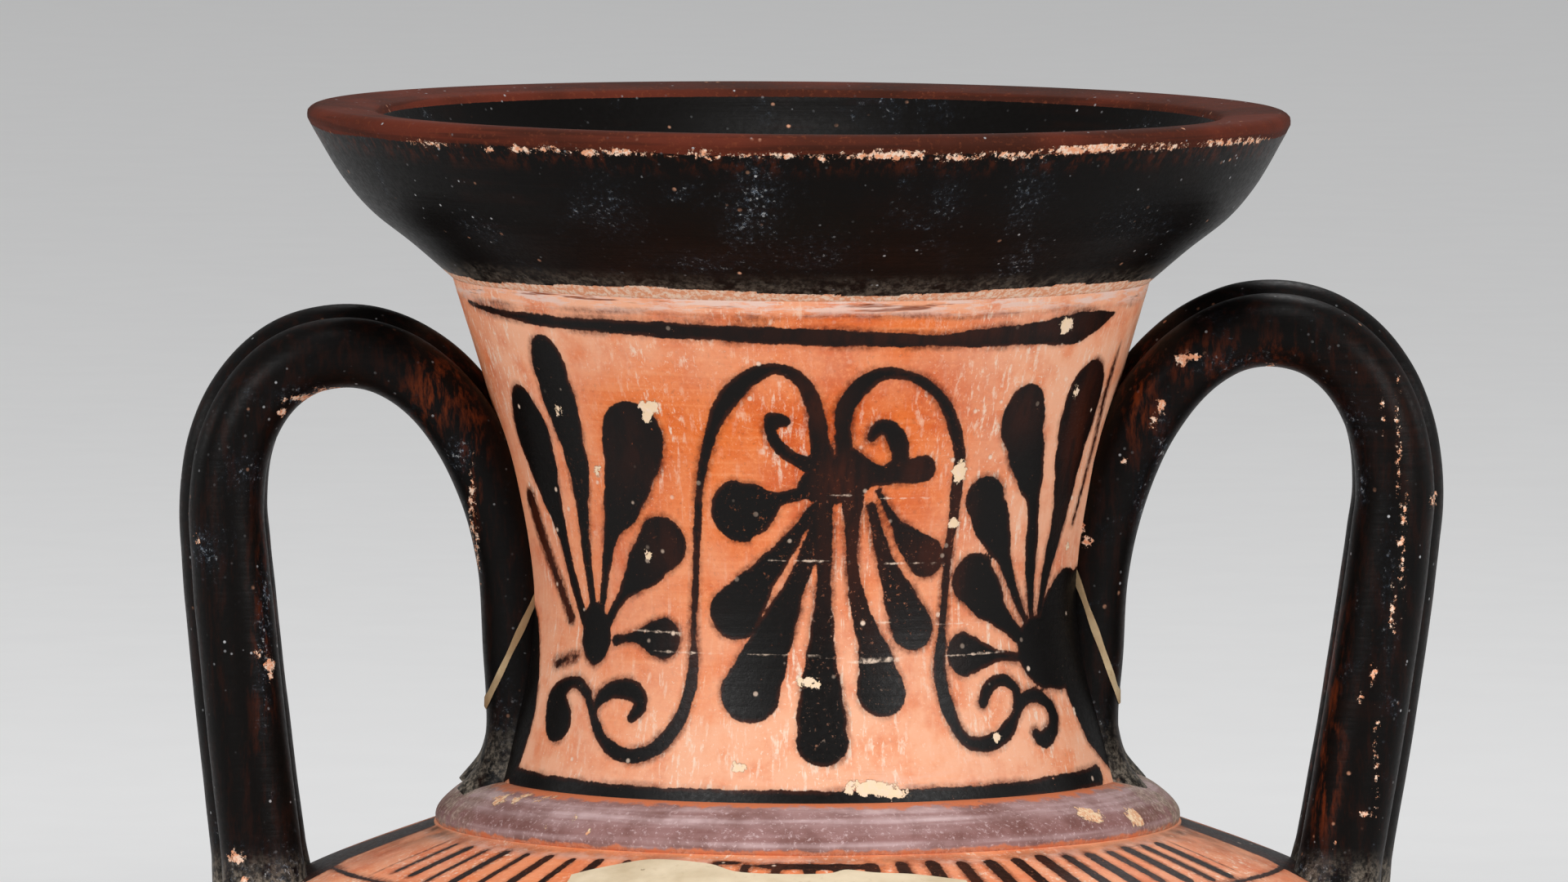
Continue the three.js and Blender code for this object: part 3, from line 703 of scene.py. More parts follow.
def onNeck(strokes):
    # strokes in degrees and millimetres, as smooth lines in millimetres
    lines = []
    for stroke in strokes:
        line = np.array(stroke, float)
        line[:, 0] *= arcScale
        line = smoothLine(line, 0.8) if len(line) > 2 else line
        # upright strokes widen towards the sides, as the brush lay flatter there
        run = np.abs(np.gradient(line[:, :2], axis=0))
        upright = run[:, 1] / np.maximum(run.sum(axis=1), 1e-6)
        spread = 1 / np.cos(np.radians(np.minimum(np.abs(line[:, 0]) / arcScale, 64))) - 1
        line[:, 2] *= 1 + upright * spread * ramp(line[:, 2], 0.9, 2.2) * 0.75
        lines.append(line)
    return lines


def swell(lines, amount=0.09):
    # a brush's small changes of width
    for line in lines:
        spot = np.arange(len(line))
        line[:, 2] *= 1 + amount * np.sin(0.9 * spot + line[0, 0]) * np.sin(0.37 * spot + line[0, 1])
    return lines


neckMarks = {
    "chips": [
        (-28.5, 56, 1.3, 1), (-29.5, 54.6, 0.6, 0.7), (-50.3, 55, 0.5, 0.7), (-42.8, 47.5, 0.5, 0.6),
        (-32.8, 36.8, 0.55, 0.6), (30.7, 47.6, 1, 1.3), (30.3, 41, 0.7, 0.6), (0.4, 21.3, 1.3, 0.6),
        (1.6, 20.7, 0.8, 0.5), (-13.2, 10.5, 0.9, 0.5), (11.5, 8, 3.4, 0.9), (15, 7.4, 1.8, 0.7),
        (38, 13.6, 0.7, 0.6), (50.3, 65.9, 1.1, 1), (58.2, 57, 0.5, 0.8), (65.7, 36.6, 0.6, 0.7),
    ],
    "scratches": [
        ((-43, 27.4, 0.06), (-20, 26.9, 0.05)), ((-12, 24.6, 0.04), (20, 24.2, 0.05)),
        ((-32, 24.8, 0.07), (-14, 24.5, 0.03)), ((14, 28.6, 0.04), (40, 28, 0.04)),
        ((8, 23.6, 0.06), (46, 24.4, 0.05)), ((-8, 36.8, 0.04), (30, 35.8, 0.05)),
        ((2, 45.2, 0.04), (26, 44.2, 0.05)),
    ],
    "pale": [
        (10, 12, 16, 6, 0.9), (-14, 10, 16, 5, 0.7), (34, 12, 14, 8, 0.6), (-58, 55, 16, 14, 0.8),
        (62, 20, 10, 20, 0.5), (-60, 16, 12, 8, 0.5), (0, 62, 60, 4, 0.35), (58, 60, 12, 10, 0.6),
        (-40, 66, 26, 5, 0.7), (14, 22, 9, 9, 0.45), (-36, 6, 16, 3, 0.6),
    ],
    "thinSpots": [
        (6.5, 47, 4, 4, 0.7), (30, 38, 4, 10, 0.8), (-24, 28, 4, 8, 0.9), (24, 37, 3, 3, 0.45),
        (-32, 50, 8, 6, 0.25), (2, 57, 5, 4, 0.6), (22, 48, 4, 3, 0.5), (-28, 38, 5, 4, 0.3),
        (10, 36, 8, 9, 0.55), (44, 55, 5, 4, 0.4), (62, 52, 5, 10, 0.7), (30, 66, 40, 2.4, 0.5),
    ],
    "scuffs": [
        (-4, 41, 12, 6, 0.35), (10, 32, 9, 12, 0.5), (22, 33, 6, 8, 0.5), (-48, 44, 5, 8, 0.2),
        (4, 16, 7, 5, 0.2), (-30, 42, 8, 5, 0.2), (30, 44, 4, 10, 0.3),
    ],
}
# where the black of each handle spreads on the neck: (degrees, millimetres over the base) of its edge
rightBlack = [
    (100, 35), (76, 34.6), (68, 33.3), (61.7, 27.3), (58.5, 24.4), (61, 18), (63, 14.8), (65.3, 11.6),
    (71.2, 8.6), (78, 6), (100, 5),
]
leftBlack = [
    (-100, 34), (-80, 31), (-72, 28.8), (-69.6, 27), (-67.6, 24), (-65.5, 20), (-64.4, 15.8), (-65, 12.6),
    (-67, 8.3), (-69, 7), (-76, 5), (-100, 4),
]


def insidePolygon(x, y, corners):
    # signed distance to a polygon's edge, negative inside
    corners = np.array(corners, float)
    best = np.full(len(x), 50.0)
    inside = np.zeros(len(x), bool)
    for (ax, ay), (bx, by) in zip(corners, np.roll(corners, -1, axis=0)):
        dx, dy = bx - ax, by - ay
        t = np.clip(((x - ax) * dx + (y - ay) * dy) / max(dx * dx + dy * dy, 1e-9), 0, 1)
        best = np.minimum(best, np.hypot(x - ax - t * dx, y - ay - t * dy))
        crosses = (ay > y) != (by > y)
        with np.errstate(divide="ignore", invalid="ignore"):
            at = ax + (y - ay) * dx / np.where(dy == 0, 1e-9, dy)
        inside ^= crosses & (x < at)
    return np.where(inside, -best, best)


def foldFront(angle):
    # the back repeats the front's ornament, mirrored at the handles
    return np.where(np.abs(angle) > 90, np.sign(angle) * 180 - angle, angle)


def neckPaint(made, outerRows):
    angle, height, _, row = surfaceOf(made)
    outer = row < outerRows + 0.5
    up = height - neckSize["base"]
    face = foldFront(angle)
    x = face * arcScale
    front = np.abs(angle) <= 90
    o = neckOrnament
    full = onNeck([o["heart"], o["knob"], *o["leaves"], o["leftHoop"], o["rightHoop"], *o["curls"],
                   *o["leftFan"], *o["rightFan"], o["topLine"], o["lowLine"]])
    worn = onNeck([*o["leftWorn"], *o["rightWorn"]])
    ink = distanceTo(x, up, swell(full))
    wornInk = distanceTo(x, up, worn)
    for corners in (rightBlack, leftBlack):
        scaled = [(a * arcScale, h) for a, h in corners]
        ink = np.minimum(ink, insidePolygon(x, up, scaled))
    # the pale wavy line and the streaky zone under the mouth
    wave = 68.0 + 0.2 * np.sin(np.radians(face) * 9) + 0.1 * np.sin(np.radians(face) * 23)
    ink = np.minimum(ink, np.abs(up - wave) + 0.04 + 0.08 * np.sin(np.radians(face) * 13))
    ink = np.minimum(ink, np.where(wornInk < 0, wornInk * 0.4 - 0.02, wornInk))
    m = neckMarks
    chip = np.where(front, blots(x, up, [(a * arcScale, h, w, t) for a, h, w, t in m["chips"]]), 6)
    scratches = [[(a * arcScale, h, w) for a, h, w in pair] for pair in m["scratches"]]
    scratch = np.where(front, distanceTo(x, up, scratches), 6)
    # the term with the angle is a painted sheen: the clay grows paler towards the handles, where the light
    # fell on the neck's sides
    pale = soft(face, up, m["pale"]) + 0.75 * ramp(up, 67.6, 69.2) + 0.25 * ramp(np.abs(face), 50, 74)
    pale += 0.4 * ramp(up, 44, 14) + 0.3 * ramp(up, 56, 34) + 0.7 * ramp(face, 18, 46) * ramp(up, 20, 44)
    thin = soft(face, up, m["thinSpots"]) + 0.9 * (wornInk < 0.1)
    scuff = soft(face, up, m["scuffs"])
    # painted shade: darker beside the handles low on the neck, and along the neck's foot against the collar
    grime = 0.8 * ramp(np.abs(face), 70, 88) * ramp(up, 40, 34) + 0.3 * ramp(up, 3, 0)
    setAmounts(made, ink=np.where(outer, ink, 6), chip=np.where(outer, chip, 6),
               scratch=np.where(outer, scratch, 6), pale=np.where(outer, np.clip(pale, 0, 1), 0.2),
               thin=np.clip(thin, 0, 1), scuff=scuff)
    lowWear = soft(face, up, [(16, 6, 20, 3, 1), (-40, 5, 20, 2.4, 0.8)])
    wear = np.clip(ramp(up, 67.2, 69.4) + 0.5 * lowWear, 0, 1)
    setAmounts(made, wear=wear * outer, grime=np.clip(grime, 0, 1))


# how the vase leans


# millimetres sideways, and how far the lip drops to a millimetre of x
lean = {"lip": -0.4, "neckBase": 0.8, "lipTilt": 0.008}


def settle(made):
    # sets a turned piece slightly out of true, as a hand-made vase is
    mesh = made.data
    co = np.empty(len(mesh.vertices) * 3)
    mesh.vertices.foreach_get("co", co)
    co = co.reshape(-1, 3)
    z = co[:, 2] / mm
    shift = np.interp(z, [0, 120, 215, 302], [0, 0, lean["neckBase"], lean["lip"]])
    tilt = lean["lipTilt"] * ramp(z, 262, 288)
    co[:, 2] -= tilt * (co[:, 0] - co[:, 0].mean())
    co[:, 0] += shift * mm
    mesh.vertices.foreach_set("co", co.ravel())
    mesh.update()


def keep(made, slot, *nodes):
    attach(made, "root")
    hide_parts(*nodes)


# neck


def neckPiece():
    s = neckSize
    knots = [(r, s["base"] + h) for r, h in s["knots"]]
    outer = smoothLine(knots, s["step"])
    inner = inward(smoothLine(knots, 4), s["wall"])[::-1]
    inner[0, 1], inner[-1, 1] = outer[-1, 1], outer[0, 1]
    outline = np.vstack([outer, inner, outer[:1]])
    made = turned("neckWall", outline, s["columns"], finishes["clay"], wobble=0.35, ridges=0.07)
    neckPaint(made, len(outer) - 1)
    settle(made)
    keep(made, "orange_clay", "neck")


neckPiece()
print("neck ready")


# mouth

# chips along the lower edge of the red band: (from, to in degrees, height, half height)
lipChips = [
    (-51, -46.5, 299.3, 0.28), (-39.3, -38.2, 299.1, 0.3), (-35.3, -33, 299.3, 0.5),
    (-31.5, -28.8, 299.6, 0.32), (-26.9, -23.5, 299.3, 0.36), (-22.8, -18.4, 299.5, 0.4),
    (-14.5, -13.4, 299.4, 0.25), (-11.9, -9.9, 299.5, 0.4), (-7, -0.3, 299.4, 0.22),
    (2, 3.4, 299.3, 0.25), (6, 14.7, 299.5, 0.45), (10, 14, 299.8, 0.35), (16.7, 20.3, 299.2, 0.3),
    (22.3, 28.2, 299.3, 0.36), (29.8, 35, 299.9, 0.6), (34, 41, 300.2, 0.7), (44, 50, 299.8, 0.35),
    (55.5, 63, 299.8, 0.3), (64.5, 70.3, 299.6, 0.25),
]
mouthBloom = [
    (-5, 294, 2.5, 5, 0.8), (-8, 290, 2, 3, 0.6), (-24, 292, 3, 4, 0.5), (-14, 285, 6, 1.4, 0.5),
    (2, 286.5, 5, 2.6, 0.4), (18, 293.5, 2, 3, 0.5), (29, 294, 2.5, 4, 0.6), (33, 285, 3, 3, 0.6),
    (-47, 288, 4, 2, 0.4), (48, 290, 6, 3, 0.3),
]


lipScale = math.radians(62)  # millimetres to a degree round the lip


def mouthPiece():
    s = mouthSize
    outer = smoothLine(s["knots"], s["step"])
    lip = smoothLine(s["lip"], 0.45)
    inside = smoothLine(s["inside"], 1.0)
    outline = np.vstack([outer, lip[1:], inside[1:], outer[:1]])
    made = turned("mouthShell", outline, s["columns"], finishes["black"], wobble=0.3, ridges=0.05)
    angle, height, _, row = surfaceOf(made)
    outerRows, lipRows = len(outer) - 1, len(outer) + len(lip) - 2
    onOuter, onLip = row <= outerRows, (row > outerRows) & (row <= lipRows)
    wavy = 0.12 * np.sin(np.radians(angle) * 7) + 0.1 * np.sin(np.radians(angle) * 17 + 1)
    band = np.where(onOuter, height - 299.5 - wavy, np.where(onLip, 1.5, height - 301.2))
    front = np.abs(angle) < 90
    x = foldFront(angle) * lipScale
    marks = [((a + b) / 2 * lipScale, h, (b - a) / 2 * lipScale, t) for a, b, h, t in lipChips]
    chip = np.where(onOuter, np.where(front, blots(x, height, marks), blots(x, height, marks[::3])), 6)
    chip = np.where(onOuter, np.minimum(chip, 1.2 + np.abs(height - 299.4) * 1.4), chip)
    chip = np.where(onLip, np.minimum(chip, 1.5 + np.abs(height - 301.4)), chip)
    lowEdge = height - 281.3 + 0.35 * np.sin(np.radians(angle) * 5 + 0.6)
    chip = np.where(onOuter, np.minimum(chip, np.where(lowEdge < 0, lowEdge * 2, 1.5 + lowEdge * 0.5)), chip)
    bloom = soft(angle, height, mouthBloom) * onOuter
    setAmounts(made, band=band, chip=chip, bloom=bloom, thin=0.3 * ramp(height, 296, 299) * onOuter,
               crust=0.35 * ramp(height, 284, 281) * onOuter)
    settle(made)
    keep(made, "black_gloss", "mouth")


mouthPiece()
print("mouth ready")


# collar, fillet and foot


def collarPiece():
    s = collarSize
    face = smoothLine(s["face"], s["step"])
    outline = np.vstack([face, face[:1]])
    made = turned("neckCollar", outline, s["columns"], finishes["purple"], wobble=0.3, ridges=0.1)
    angle, height, *_ = surfaceOf(made)
    # painted light and shade, as a moulding shows under the light: the collar is paler along a fine line low
    # down and over its upward face, darker along the middle, and paler in two broad patches on that face
    lowLineHighlight = np.exp(-(((height - 211.4) / 0.3) ** 2))
    middle = np.exp(-(((height - 212.4) / 0.9) ** 2))
    pale = (0.4 + 0.4 * lowLineHighlight - 0.4 * middle + 0.55 * ramp(height, 213.0, 214.4)
            + 0.3 * soft(angle, height, [(-46, 214, 14, 2, 1)])
            + 0.25 * soft(angle, height, [(0, 213, 26, 4, 1)]))
    marks = [(50.8, 213.6, 1.9, 0.8), (62, 212.6, 1.6, 1.2), (-40, 213.8, 0.4, 0.4), (-44, 212.6, 0.4, 0.3),
             (-36, 212.2, 0.3, 0.3), (-62, 214.8, 1.2, 0.5), (-57, 215.2, 1.0, 0.4), (-51, 215.4, 0.9, 0.3)]
    scale = math.radians(45)
    chip = blots(angle * scale, height, [(a * scale, h, w, t) for a, h, w, t in marks])
    chip = np.where(np.abs(angle) < 90, chip, 6)
    rim = np.minimum(height - 210.7, 215.75 - height)
    crust = ramp(np.abs(foldFront(angle)), 58, 82) + 0.5 * np.exp(-((height - 210.2) / 0.5) ** 2)
    setAmounts(made, crust=np.clip(crust, 0, 1), pale=np.clip(pale, 0, 1), chip=chip, rim=rim)
    settle(made)
    keep(made, "purple_wash", "neck_collar")


def filletPiece():
    s = filletSize
    face = smoothLine(s["face"], s["step"])
    made = turned("footFillet", np.vstack([face, face[:1]]), s["columns"], finishes["purple"], wobble=0.2)
    setAmounts(made, pale=0.3, chip=2.2, rim=3.0, crust=0.2)
    keep(made, "purple_wash", "foot_fillet")


def footPiece():
    s = footSize
    hollow = smoothLine(s["hollow"], 1.6)
    face = smoothLine(s["face"], s["step"])
    top = np.array([(24, 21), (12, 21), (0, 21)], float)
    outline = np.vstack([hollow, face[1:], top])
    made = turned("footRing", outline, s["columns"], finishes["black"], wobble=0.3, ridges=0.08)
    _, height, _, row = surfaceOf(made)
    under = row < len(hollow) + 3
    edges = np.minimum(1.5 + np.abs(height - 3.4) * 0.8, 1.1 + np.abs(height - 0.3))
    setAmounts(made, band=np.where(under, 2, -2), chip=np.where(under, 1.6, edges),
               bloom=0.35 * np.exp(-((height - 9) / 4) ** 2),
               thin=0.6 * np.exp(-((height - 3.6) / 1.4) ** 2),
               crust=0.4 * np.exp(-((height - 0.4) / 0.8) ** 2))
    keep(made, "black_gloss", "foot")


collarPiece()
filletPiece()
footPiece()
print("collar, fillet and foot ready")


# body ornament, by rule

bodyOrnament = {
    "tongues": 80,
    "tongueIn": 50.6,
    "tongueOut": 59.4,
    "lineRadius": 61.6,
    "frieze": 1.75,  # size of the body's palmettes to the neck's
    "rays": 20,
    "buds": 36,
    "meander": 40,
}
# the plaster patch seen from the front, as (x, drop below the neck's base) in millimetres
patchEdge = [
    (-30.4, -2.2), (-32, -5), (-32, -9), (-24, -20.5), (-4, -26), (15.5, -21.8), (23.5, -10.4),
    (22.6, -4.4), (20.6, -2.2),
]
patchTop = [
    (20.6, -2.2), (14, -1.5), (8.5, -1.25), (5, -0.95), (2.6, -1.3), (-3, -1.35), (-9, -1.2),
    (-12.5, -0.5), (-17, -0.2), (-21, -0.3), (-25.5, -1.1), (-30.4, -2.2),
]


def bigFan(x, y, size):
    # distance to one palmette standing in scrolls, drawn by rule round its heart, all in millimetres
    strokes = []
    for i in range(9):
        lean = math.radians(-104 + 26 * i)
        reach = size * (1 - 0.3 * abs(i - 4) / 4)
        tip = (reach * math.sin(lean), reach * math.cos(lean))
        bend = (0.5 * tip[0] - 0.08 * size * math.sin(2 * lean), 0.5 * tip[1])
        strokes.append([(0, 0, 0.045 * size), (*bend, 0.05 * size), (*tip, 0.095 * size)])
    for side in (-1, 1):
        turn = np.linspace(0, 1, 24)
        angle = -2.4 + 4.6 * turn
        curl = size * (0.46 * (1 - 0.75 * turn))
        across, up = side * (0.52 * size + curl * np.cos(angle)), -0.42 * size + curl * np.sin(angle)
        strokes.append(np.stack([across, up, np.full(24, 0.03 * size)], axis=1))
    lines = [smoothLine(s, 1.2) if len(s) < 10 else np.array(s) for s in strokes]
    return distanceTo(x, y, lines)


def smallFan(x, y, size, lean):
    # distance to a five-leaved palmette growing from a scroll
    strokes = []
    for i in range(5):
        way = lean + math.radians(-64 + 32 * i)
        reach = size * (1 - 0.26 * abs(i - 2) / 2)
        tip = (reach * math.sin(way), reach * math.cos(way))
        halfway = (0.55 * tip[0], 0.55 * tip[1], 0.06 * size)
        strokes.append([(0, 0, 0.07 * size), halfway, (*tip, 0.13 * size)])
    return distanceTo(x, y, [smoothLine(stroke, 1.2) for stroke in strokes])


def friezeInk(angle, reach):
    # reach is the distance along the wall, upwards from the widest line
    face = foldFront(angle)
    scale = math.radians(92)
    x = face * scale
    ink = np.full(len(x), 6.0)
    for centre, size, y in ((0, 34, 2), (90, 30, -2), (-90, 30, -2)):
        across = x - centre * scale
        ink = np.minimum(ink, bigFan(across, reach - y, size))
        ink = np.minimum(ink, bigFan(across, -(reach - y) - 22, 0.62 * size))
    # a scroll between them, turning one way above and the other way below
    turn = np.linspace(0, 1, 30)
    upper = np.stack([72 + 17 * (1 - 0.72 * turn) * np.cos(np.pi - 7.4 * turn),
                      20 + 17 * (1 - 0.72 * turn) * np.sin(np.pi - 7.4 * turn),
                      1.25 + 0.9 * turn**5], axis=1)
    lower = np.stack([144 - upper[:, 0], -8 - upper[:, 1], upper[:, 2]], axis=1)
    stemKnots = [lower[1], lower[0], (86, -17, 1.2), (72, -4, 1.5), (58, 9, 1.2), upper[0], upper[1]]
    stem = smoothLine(stemKnots, 1.5)
    scroll = np.vstack([lower[::-1][:-2], stem, upper[2:]])
    for side in (-1, 1):
        ink = np.minimum(ink, distanceTo(side * x, reach, [scroll]))
        ink = np.minimum(ink, smallFan(side * x - 91, reach - 7, 15, -0.5))
        ink = np.minimum(ink, smallFan(-(side * x - 53), -(reach + 15), 15, -0.5))
    return ink


def bandLines(height, levels, half):
    best = np.full(len(height), 6.0)
    for level in levels:
        best = np.minimum(best, np.abs(height - level) - half)
    return best


def meanderInk(angle, height, low, high, count):
    # a running key made of straight strokes, one unit at a time
    step = 360 / count
    scale = math.radians(86)
    u = ((angle + 360) % step) * scale
    w = step * scale
    h = high - low
    y = height - low
    half = 0.55
    key = [[(0, 0.5, half), (0, h - 0.5, half)], [(0, h - 0.5, half), (0.74 * w, h - 0.5, half)],
           [(0.74 * w, h - 0.5, half), (0.74 * w, 0.38 * h, half)],
           [(0.74 * w, 0.38 * h, half), (0.37 * w, 0.38 * h, half)],
           [(0, 0.5, half), (w, 0.5, half)], [(w, 0.5, half), (w, h - 0.5, half)]]
    return distanceTo(u, y, key)


def shoulderPiece():
    s = shoulderSize
    outer = smoothLine(s["knots"], s["step"])
    inner = inward(smoothLine(s["knots"], 5), s["wall"])[::-1]
    inner = inner[inner[:, 0] > 41]
    inner[-1, 1] = outer[0, 1]
    throat = np.array([(48.0, 210.2), (42, 210.2), (36.6, 210.2), (36.6, 205)], float)
    outline = np.vstack([outer, throat, inner, outer[:1]])
    made = turned("shoulderWall", outline, s["columns"], finishes["clay"], wobble=0.4, ridges=0.08)
    angle, _, radius, row = surfaceOf(made)
    onOuter = row < len(outer) - 0.5
    length = lengthAlong(outer)
    reach = np.interp(row, np.arange(len(outer)), length)
    b = bodyOrnament
    face = foldFront(angle)
    # tongues
    step = 360 / b["tongues"]
    centre = np.round(angle / step) * step
    across = (angle - centre) * np.radians(radius)
    flick = np.sin(centre * 3.1) * 0.5
    tongueWidth = 0.9 + 0.14 * np.sin(centre * 7.7) + 0.16 * np.sign(np.sin(np.radians(face)))
    inStart = b["tongueIn"] + 0.5 * flick
    outEnd = b["tongueOut"] + 0.7 * np.sin(centre * 5.3)
    spread = np.maximum(np.maximum(inStart - radius, radius - outEnd), 0)
    tongue = np.hypot(across, spread) - tongueWidth
    handleZone = np.abs(np.abs(angle) - 90)
    ink = np.where(handleZone < 23, 6, tongue)
    ring = np.abs(radius - b["lineRadius"]) - 0.5
    ink = np.minimum(ink, np.where(handleZone < 7, 6, ring))
    side = handleZone * np.radians(radius)
    wedge = np.where(radius < 70, side - 6 - 0.2 * (radius - 50), 6)
    ink = np.minimum(ink, np.minimum(wedge, blots(side, radius, [(0, 70.5, 13.5, 13.5)])))
    ink = np.minimum(ink, np.where(radius > 65, friezeInk(angle, reach), 6))
    # black left along the plaster's upper edge
    rest = soft(angle, radius, [(-3, 50.6, 7, 0.9, 1.0), (6, 50.8, 5, 0.7, 1), (-12, 49.8, 2.4, 0.5, 1)])
    ink = np.minimum(ink, (0.45 - rest) * 2)
    # the term with the angle is a painted sheen: the clay grows paler towards the handles
    pale = 0.35 + 0.3 * ramp(np.abs(face), 40, 75) + 0.3 * soft(angle, radius, [(40, 55, 20, 8, 1)])
    # painted shade: darker beside the handles near the collar, along the joint with the collar, and round
    # the handles' roots
    grime = (0.55 * np.exp(-((np.abs(face) - 80) / 9) ** 2) * ramp(radius, 62, 52)
             + 0.5 * np.exp(-(((radius - 49) / 1.2) ** 2))
             + 0.7 * np.exp(-((handleZone / 14) ** 2) - ((radius - 70) / 12) ** 2))
    setAmounts(made, ink=np.where(onOuter, ink, 6), chip=np.where(onOuter, 2.0, 6), scratch=6.0,
               pale=np.clip(pale, 0, 1), thin=0.25 + 0.3 * (np.sin(centre * 2.3) > 0.4), scuff=0.3,
               wear=0.5 * np.exp(-(((radius - 49.6) / 1.0) ** 2)) * onOuter,
               grime=np.clip(grime, 0, 1) * onOuter)
    settle(made)
    keep(made, "orange_clay", "shoulder")
    return outer


def bodyPiece():
    s = bodySize
    outer = smoothLine(s["knots"], s["step"])
    inner = inward(smoothLine(s["knots"], 6), s["wall"])[::-1]
    inner = inner[inner[:, 1] > 33]
    inner[0, 1] = outer[-1, 1]
    bowl = np.array([(16, 29.2), (0, 28.3)], float)
    outline = np.vstack([[(0, 21), (14, 21)], outer, inner, bowl])
    made = turned("bodyWall", outline, s["columns"], finishes["clay"], wobble=0.5, ridges=0.1)
    angle, height, radius, row = surfaceOf(made)
    onOuter = (row > 1.5) & (row <= len(outer) + 1.5)
    length = lengthAlong(outer)
    reach = np.interp(row - 2, np.arange(len(outer)), length) - length[-1]
    b = bodyOrnament
    ink = np.where(height > 104, friezeInk(angle, reach), 6)
    ink = np.minimum(ink, bandLines(height, (103, 101.2, 92.2, 90.4, 76, 74.4, 72.8), 0.45))
    keyInk = meanderInk(angle, height, 93.2, 100.2, b["meander"])
    ink = np.minimum(ink, np.where((height > 92) & (height < 101.5), keyInk, 6))
    step = 360 / b["buds"]
    u = (angle - np.round(angle / step) * step) * np.radians(radius)
    bud = smoothLine([(0, 77, 0.5), (0, 80, 1.0), (0, 83.5, 1.9), (0, 87.5, 0.5)], 0.8)
    budInk = distanceTo(u, height, [bud])
    ink = np.minimum(ink, np.where((height > 76) & (height < 90.5), budInk, 6))
    half = (angle - (np.floor(angle / step) + 0.5) * step) * np.radians(radius)
    link = np.abs(height - 78.2 - 0.35 * half**2 / 3) - 0.35
    ink = np.minimum(ink, np.where((height > 76) & (height < 82), link, 6))
    step = 360 / b["rays"]
    u = (angle - np.round(angle / step) * step) * np.radians(radius)
    ray = np.abs(u) - 3.4 * np.clip((70 - height) / 38, 0, 1)
    ink = np.minimum(ink, np.where((height < 70) & (height > 29), ray * 0.9, 6))
    ink = np.minimum(ink, np.where(height < 32, height - 30.5, 6))
    pale = 0.25 + 0.2 * np.sin(np.radians(angle) * 3) * np.sin(height / 14)
    # the last amount is painted shade: the body darkens just above its joint with the foot
    setAmounts(made, ink=np.where(onOuter, ink, 6), chip=np.where(onOuter, 2.0, 6), scratch=6.0,
               pale=np.clip(pale, 0, 1),
               thin=np.clip(0.3 + 0.3 * np.sin(np.radians(angle) * 5 + height / 9), 0, 1), scuff=0.3,
               grime=0.4 * np.exp(-((height - 28) / 5) ** 2) * onOuter)
    settle(made)
    keep(made, "orange_clay", "lower_body")


shoulderLine = shoulderPiece()
bodyPiece()
print("shoulder and body ready")


def patchPiece():
    # a thin crowned skin over the lost piece of wall, tucked in at its rim
    rim = np.vstack([smoothLine(patchEdge, 0.8), smoothLine(patchTop, 0.5)[1:-1]])
    centre = np.array([-2.0, -11.0])
    shares = np.concatenate([[0.0], np.linspace(0.04, 1, 46)])
    points, faces = [], []
    count = len(rim)
    top = shoulderLine[::-1]
    for layer in (0, 1):
        for k, share in enumerate(shares):
            spots = [centre] if k == 0 else centre + (rim - centre) * share
            for x, drop in spots:
                z = 210 + drop
                cover = np.interp(-z, -top[:, 1], top[:, 0]) if z < 210 else 48.2
                lumps = 0.12 * math.sin(x * 0.31 + drop * 0.2) * math.sin(drop * 0.43 + 1)
                lift = (0.5 + lumps) * (1 - share**10) - 0.12 if layer == 0 else -1.6
                reach = max(cover + lift, abs(x) + 1)
                points.append((x, -math.sqrt(reach**2 - x**2), min(z, 209.9)))
    perLayer = 1 + (len(shares) - 1) * count
    for layer in (0, 1):
        base = layer * perLayer
        for i in range(count):
            j = (i + 1) % count
            faces.append((base, base + 1 + i, base + 1 + j))
            for k in range(len(shares) - 2):
                a, b = base + 1 + k * count, base + 1 + (k + 1) * count
                faces.append((a + i, b + i, b + j, a + j))
    last = 1 + (len(shares) - 2) * count
    for i in range(count):
        j = (i + 1) % count
        faces.append((last + i, perLayer + last + i, perLayer + last + j, last + j))
    mesh = bpy.data.meshes.new("plasterPatch")
    mesh.from_pydata([(x * mm, y * mm, z * mm) for x, y, z in points], [], faces)
    mesh.materials.append(finishes["plaster"])
    outwards(mesh)
    mesh.polygons.foreach_set("use_smooth", [True] * len(mesh.polygons))
    made = placed("plasterPatch", mesh)
    settle(made)
    keep(made, "plaster", "shoulder_fill")


patchPiece()
print("plaster patch ready")


# handles

handleSizes = {
    "left": {
        "side": -1,
        "reed": 5.1,
        "breakX": 36.8,
        "slant": 25,
        "apexX": 58.5,
        "apexZ": 270.9,
        "cling": 235.4,
        "bowX": 73.8,
        "bowZ": 250.7,
        "rootX": 68.4,
        "rootZ": 201.1,
    },
    "right": {
        "side": 1,
        "reed": 5.3,
        "breakX": 38.1,
        "slant": 19.6,
        "apexX": 60,
        "apexZ": 273.8,
        "cling": 232.8,
        "bowX": 76,
        "bowZ": 252.8,
        "rootX": 67.8,
        "rootZ": 201,
    },
}
# shares of the handle's length from the neck, and how thick it is there
reedSize = {
    "pitch": 7.2,
    "rise": 1.5,
    "points": 104,
    "shares": [0, 0.02, 0.05, 0.09, 0.18, 0.32, 0.43, 0.63, 0.73, 0.95, 0.975, 1.0],
    "swell": [1.0, 0.98, 0.96, 0.93, 0.92, 0.9, 0.88, 0.94, 0.99, 1.02, 1.08, 1.3],
}
breakSize = {"height": 234.0, "width": 0.6}


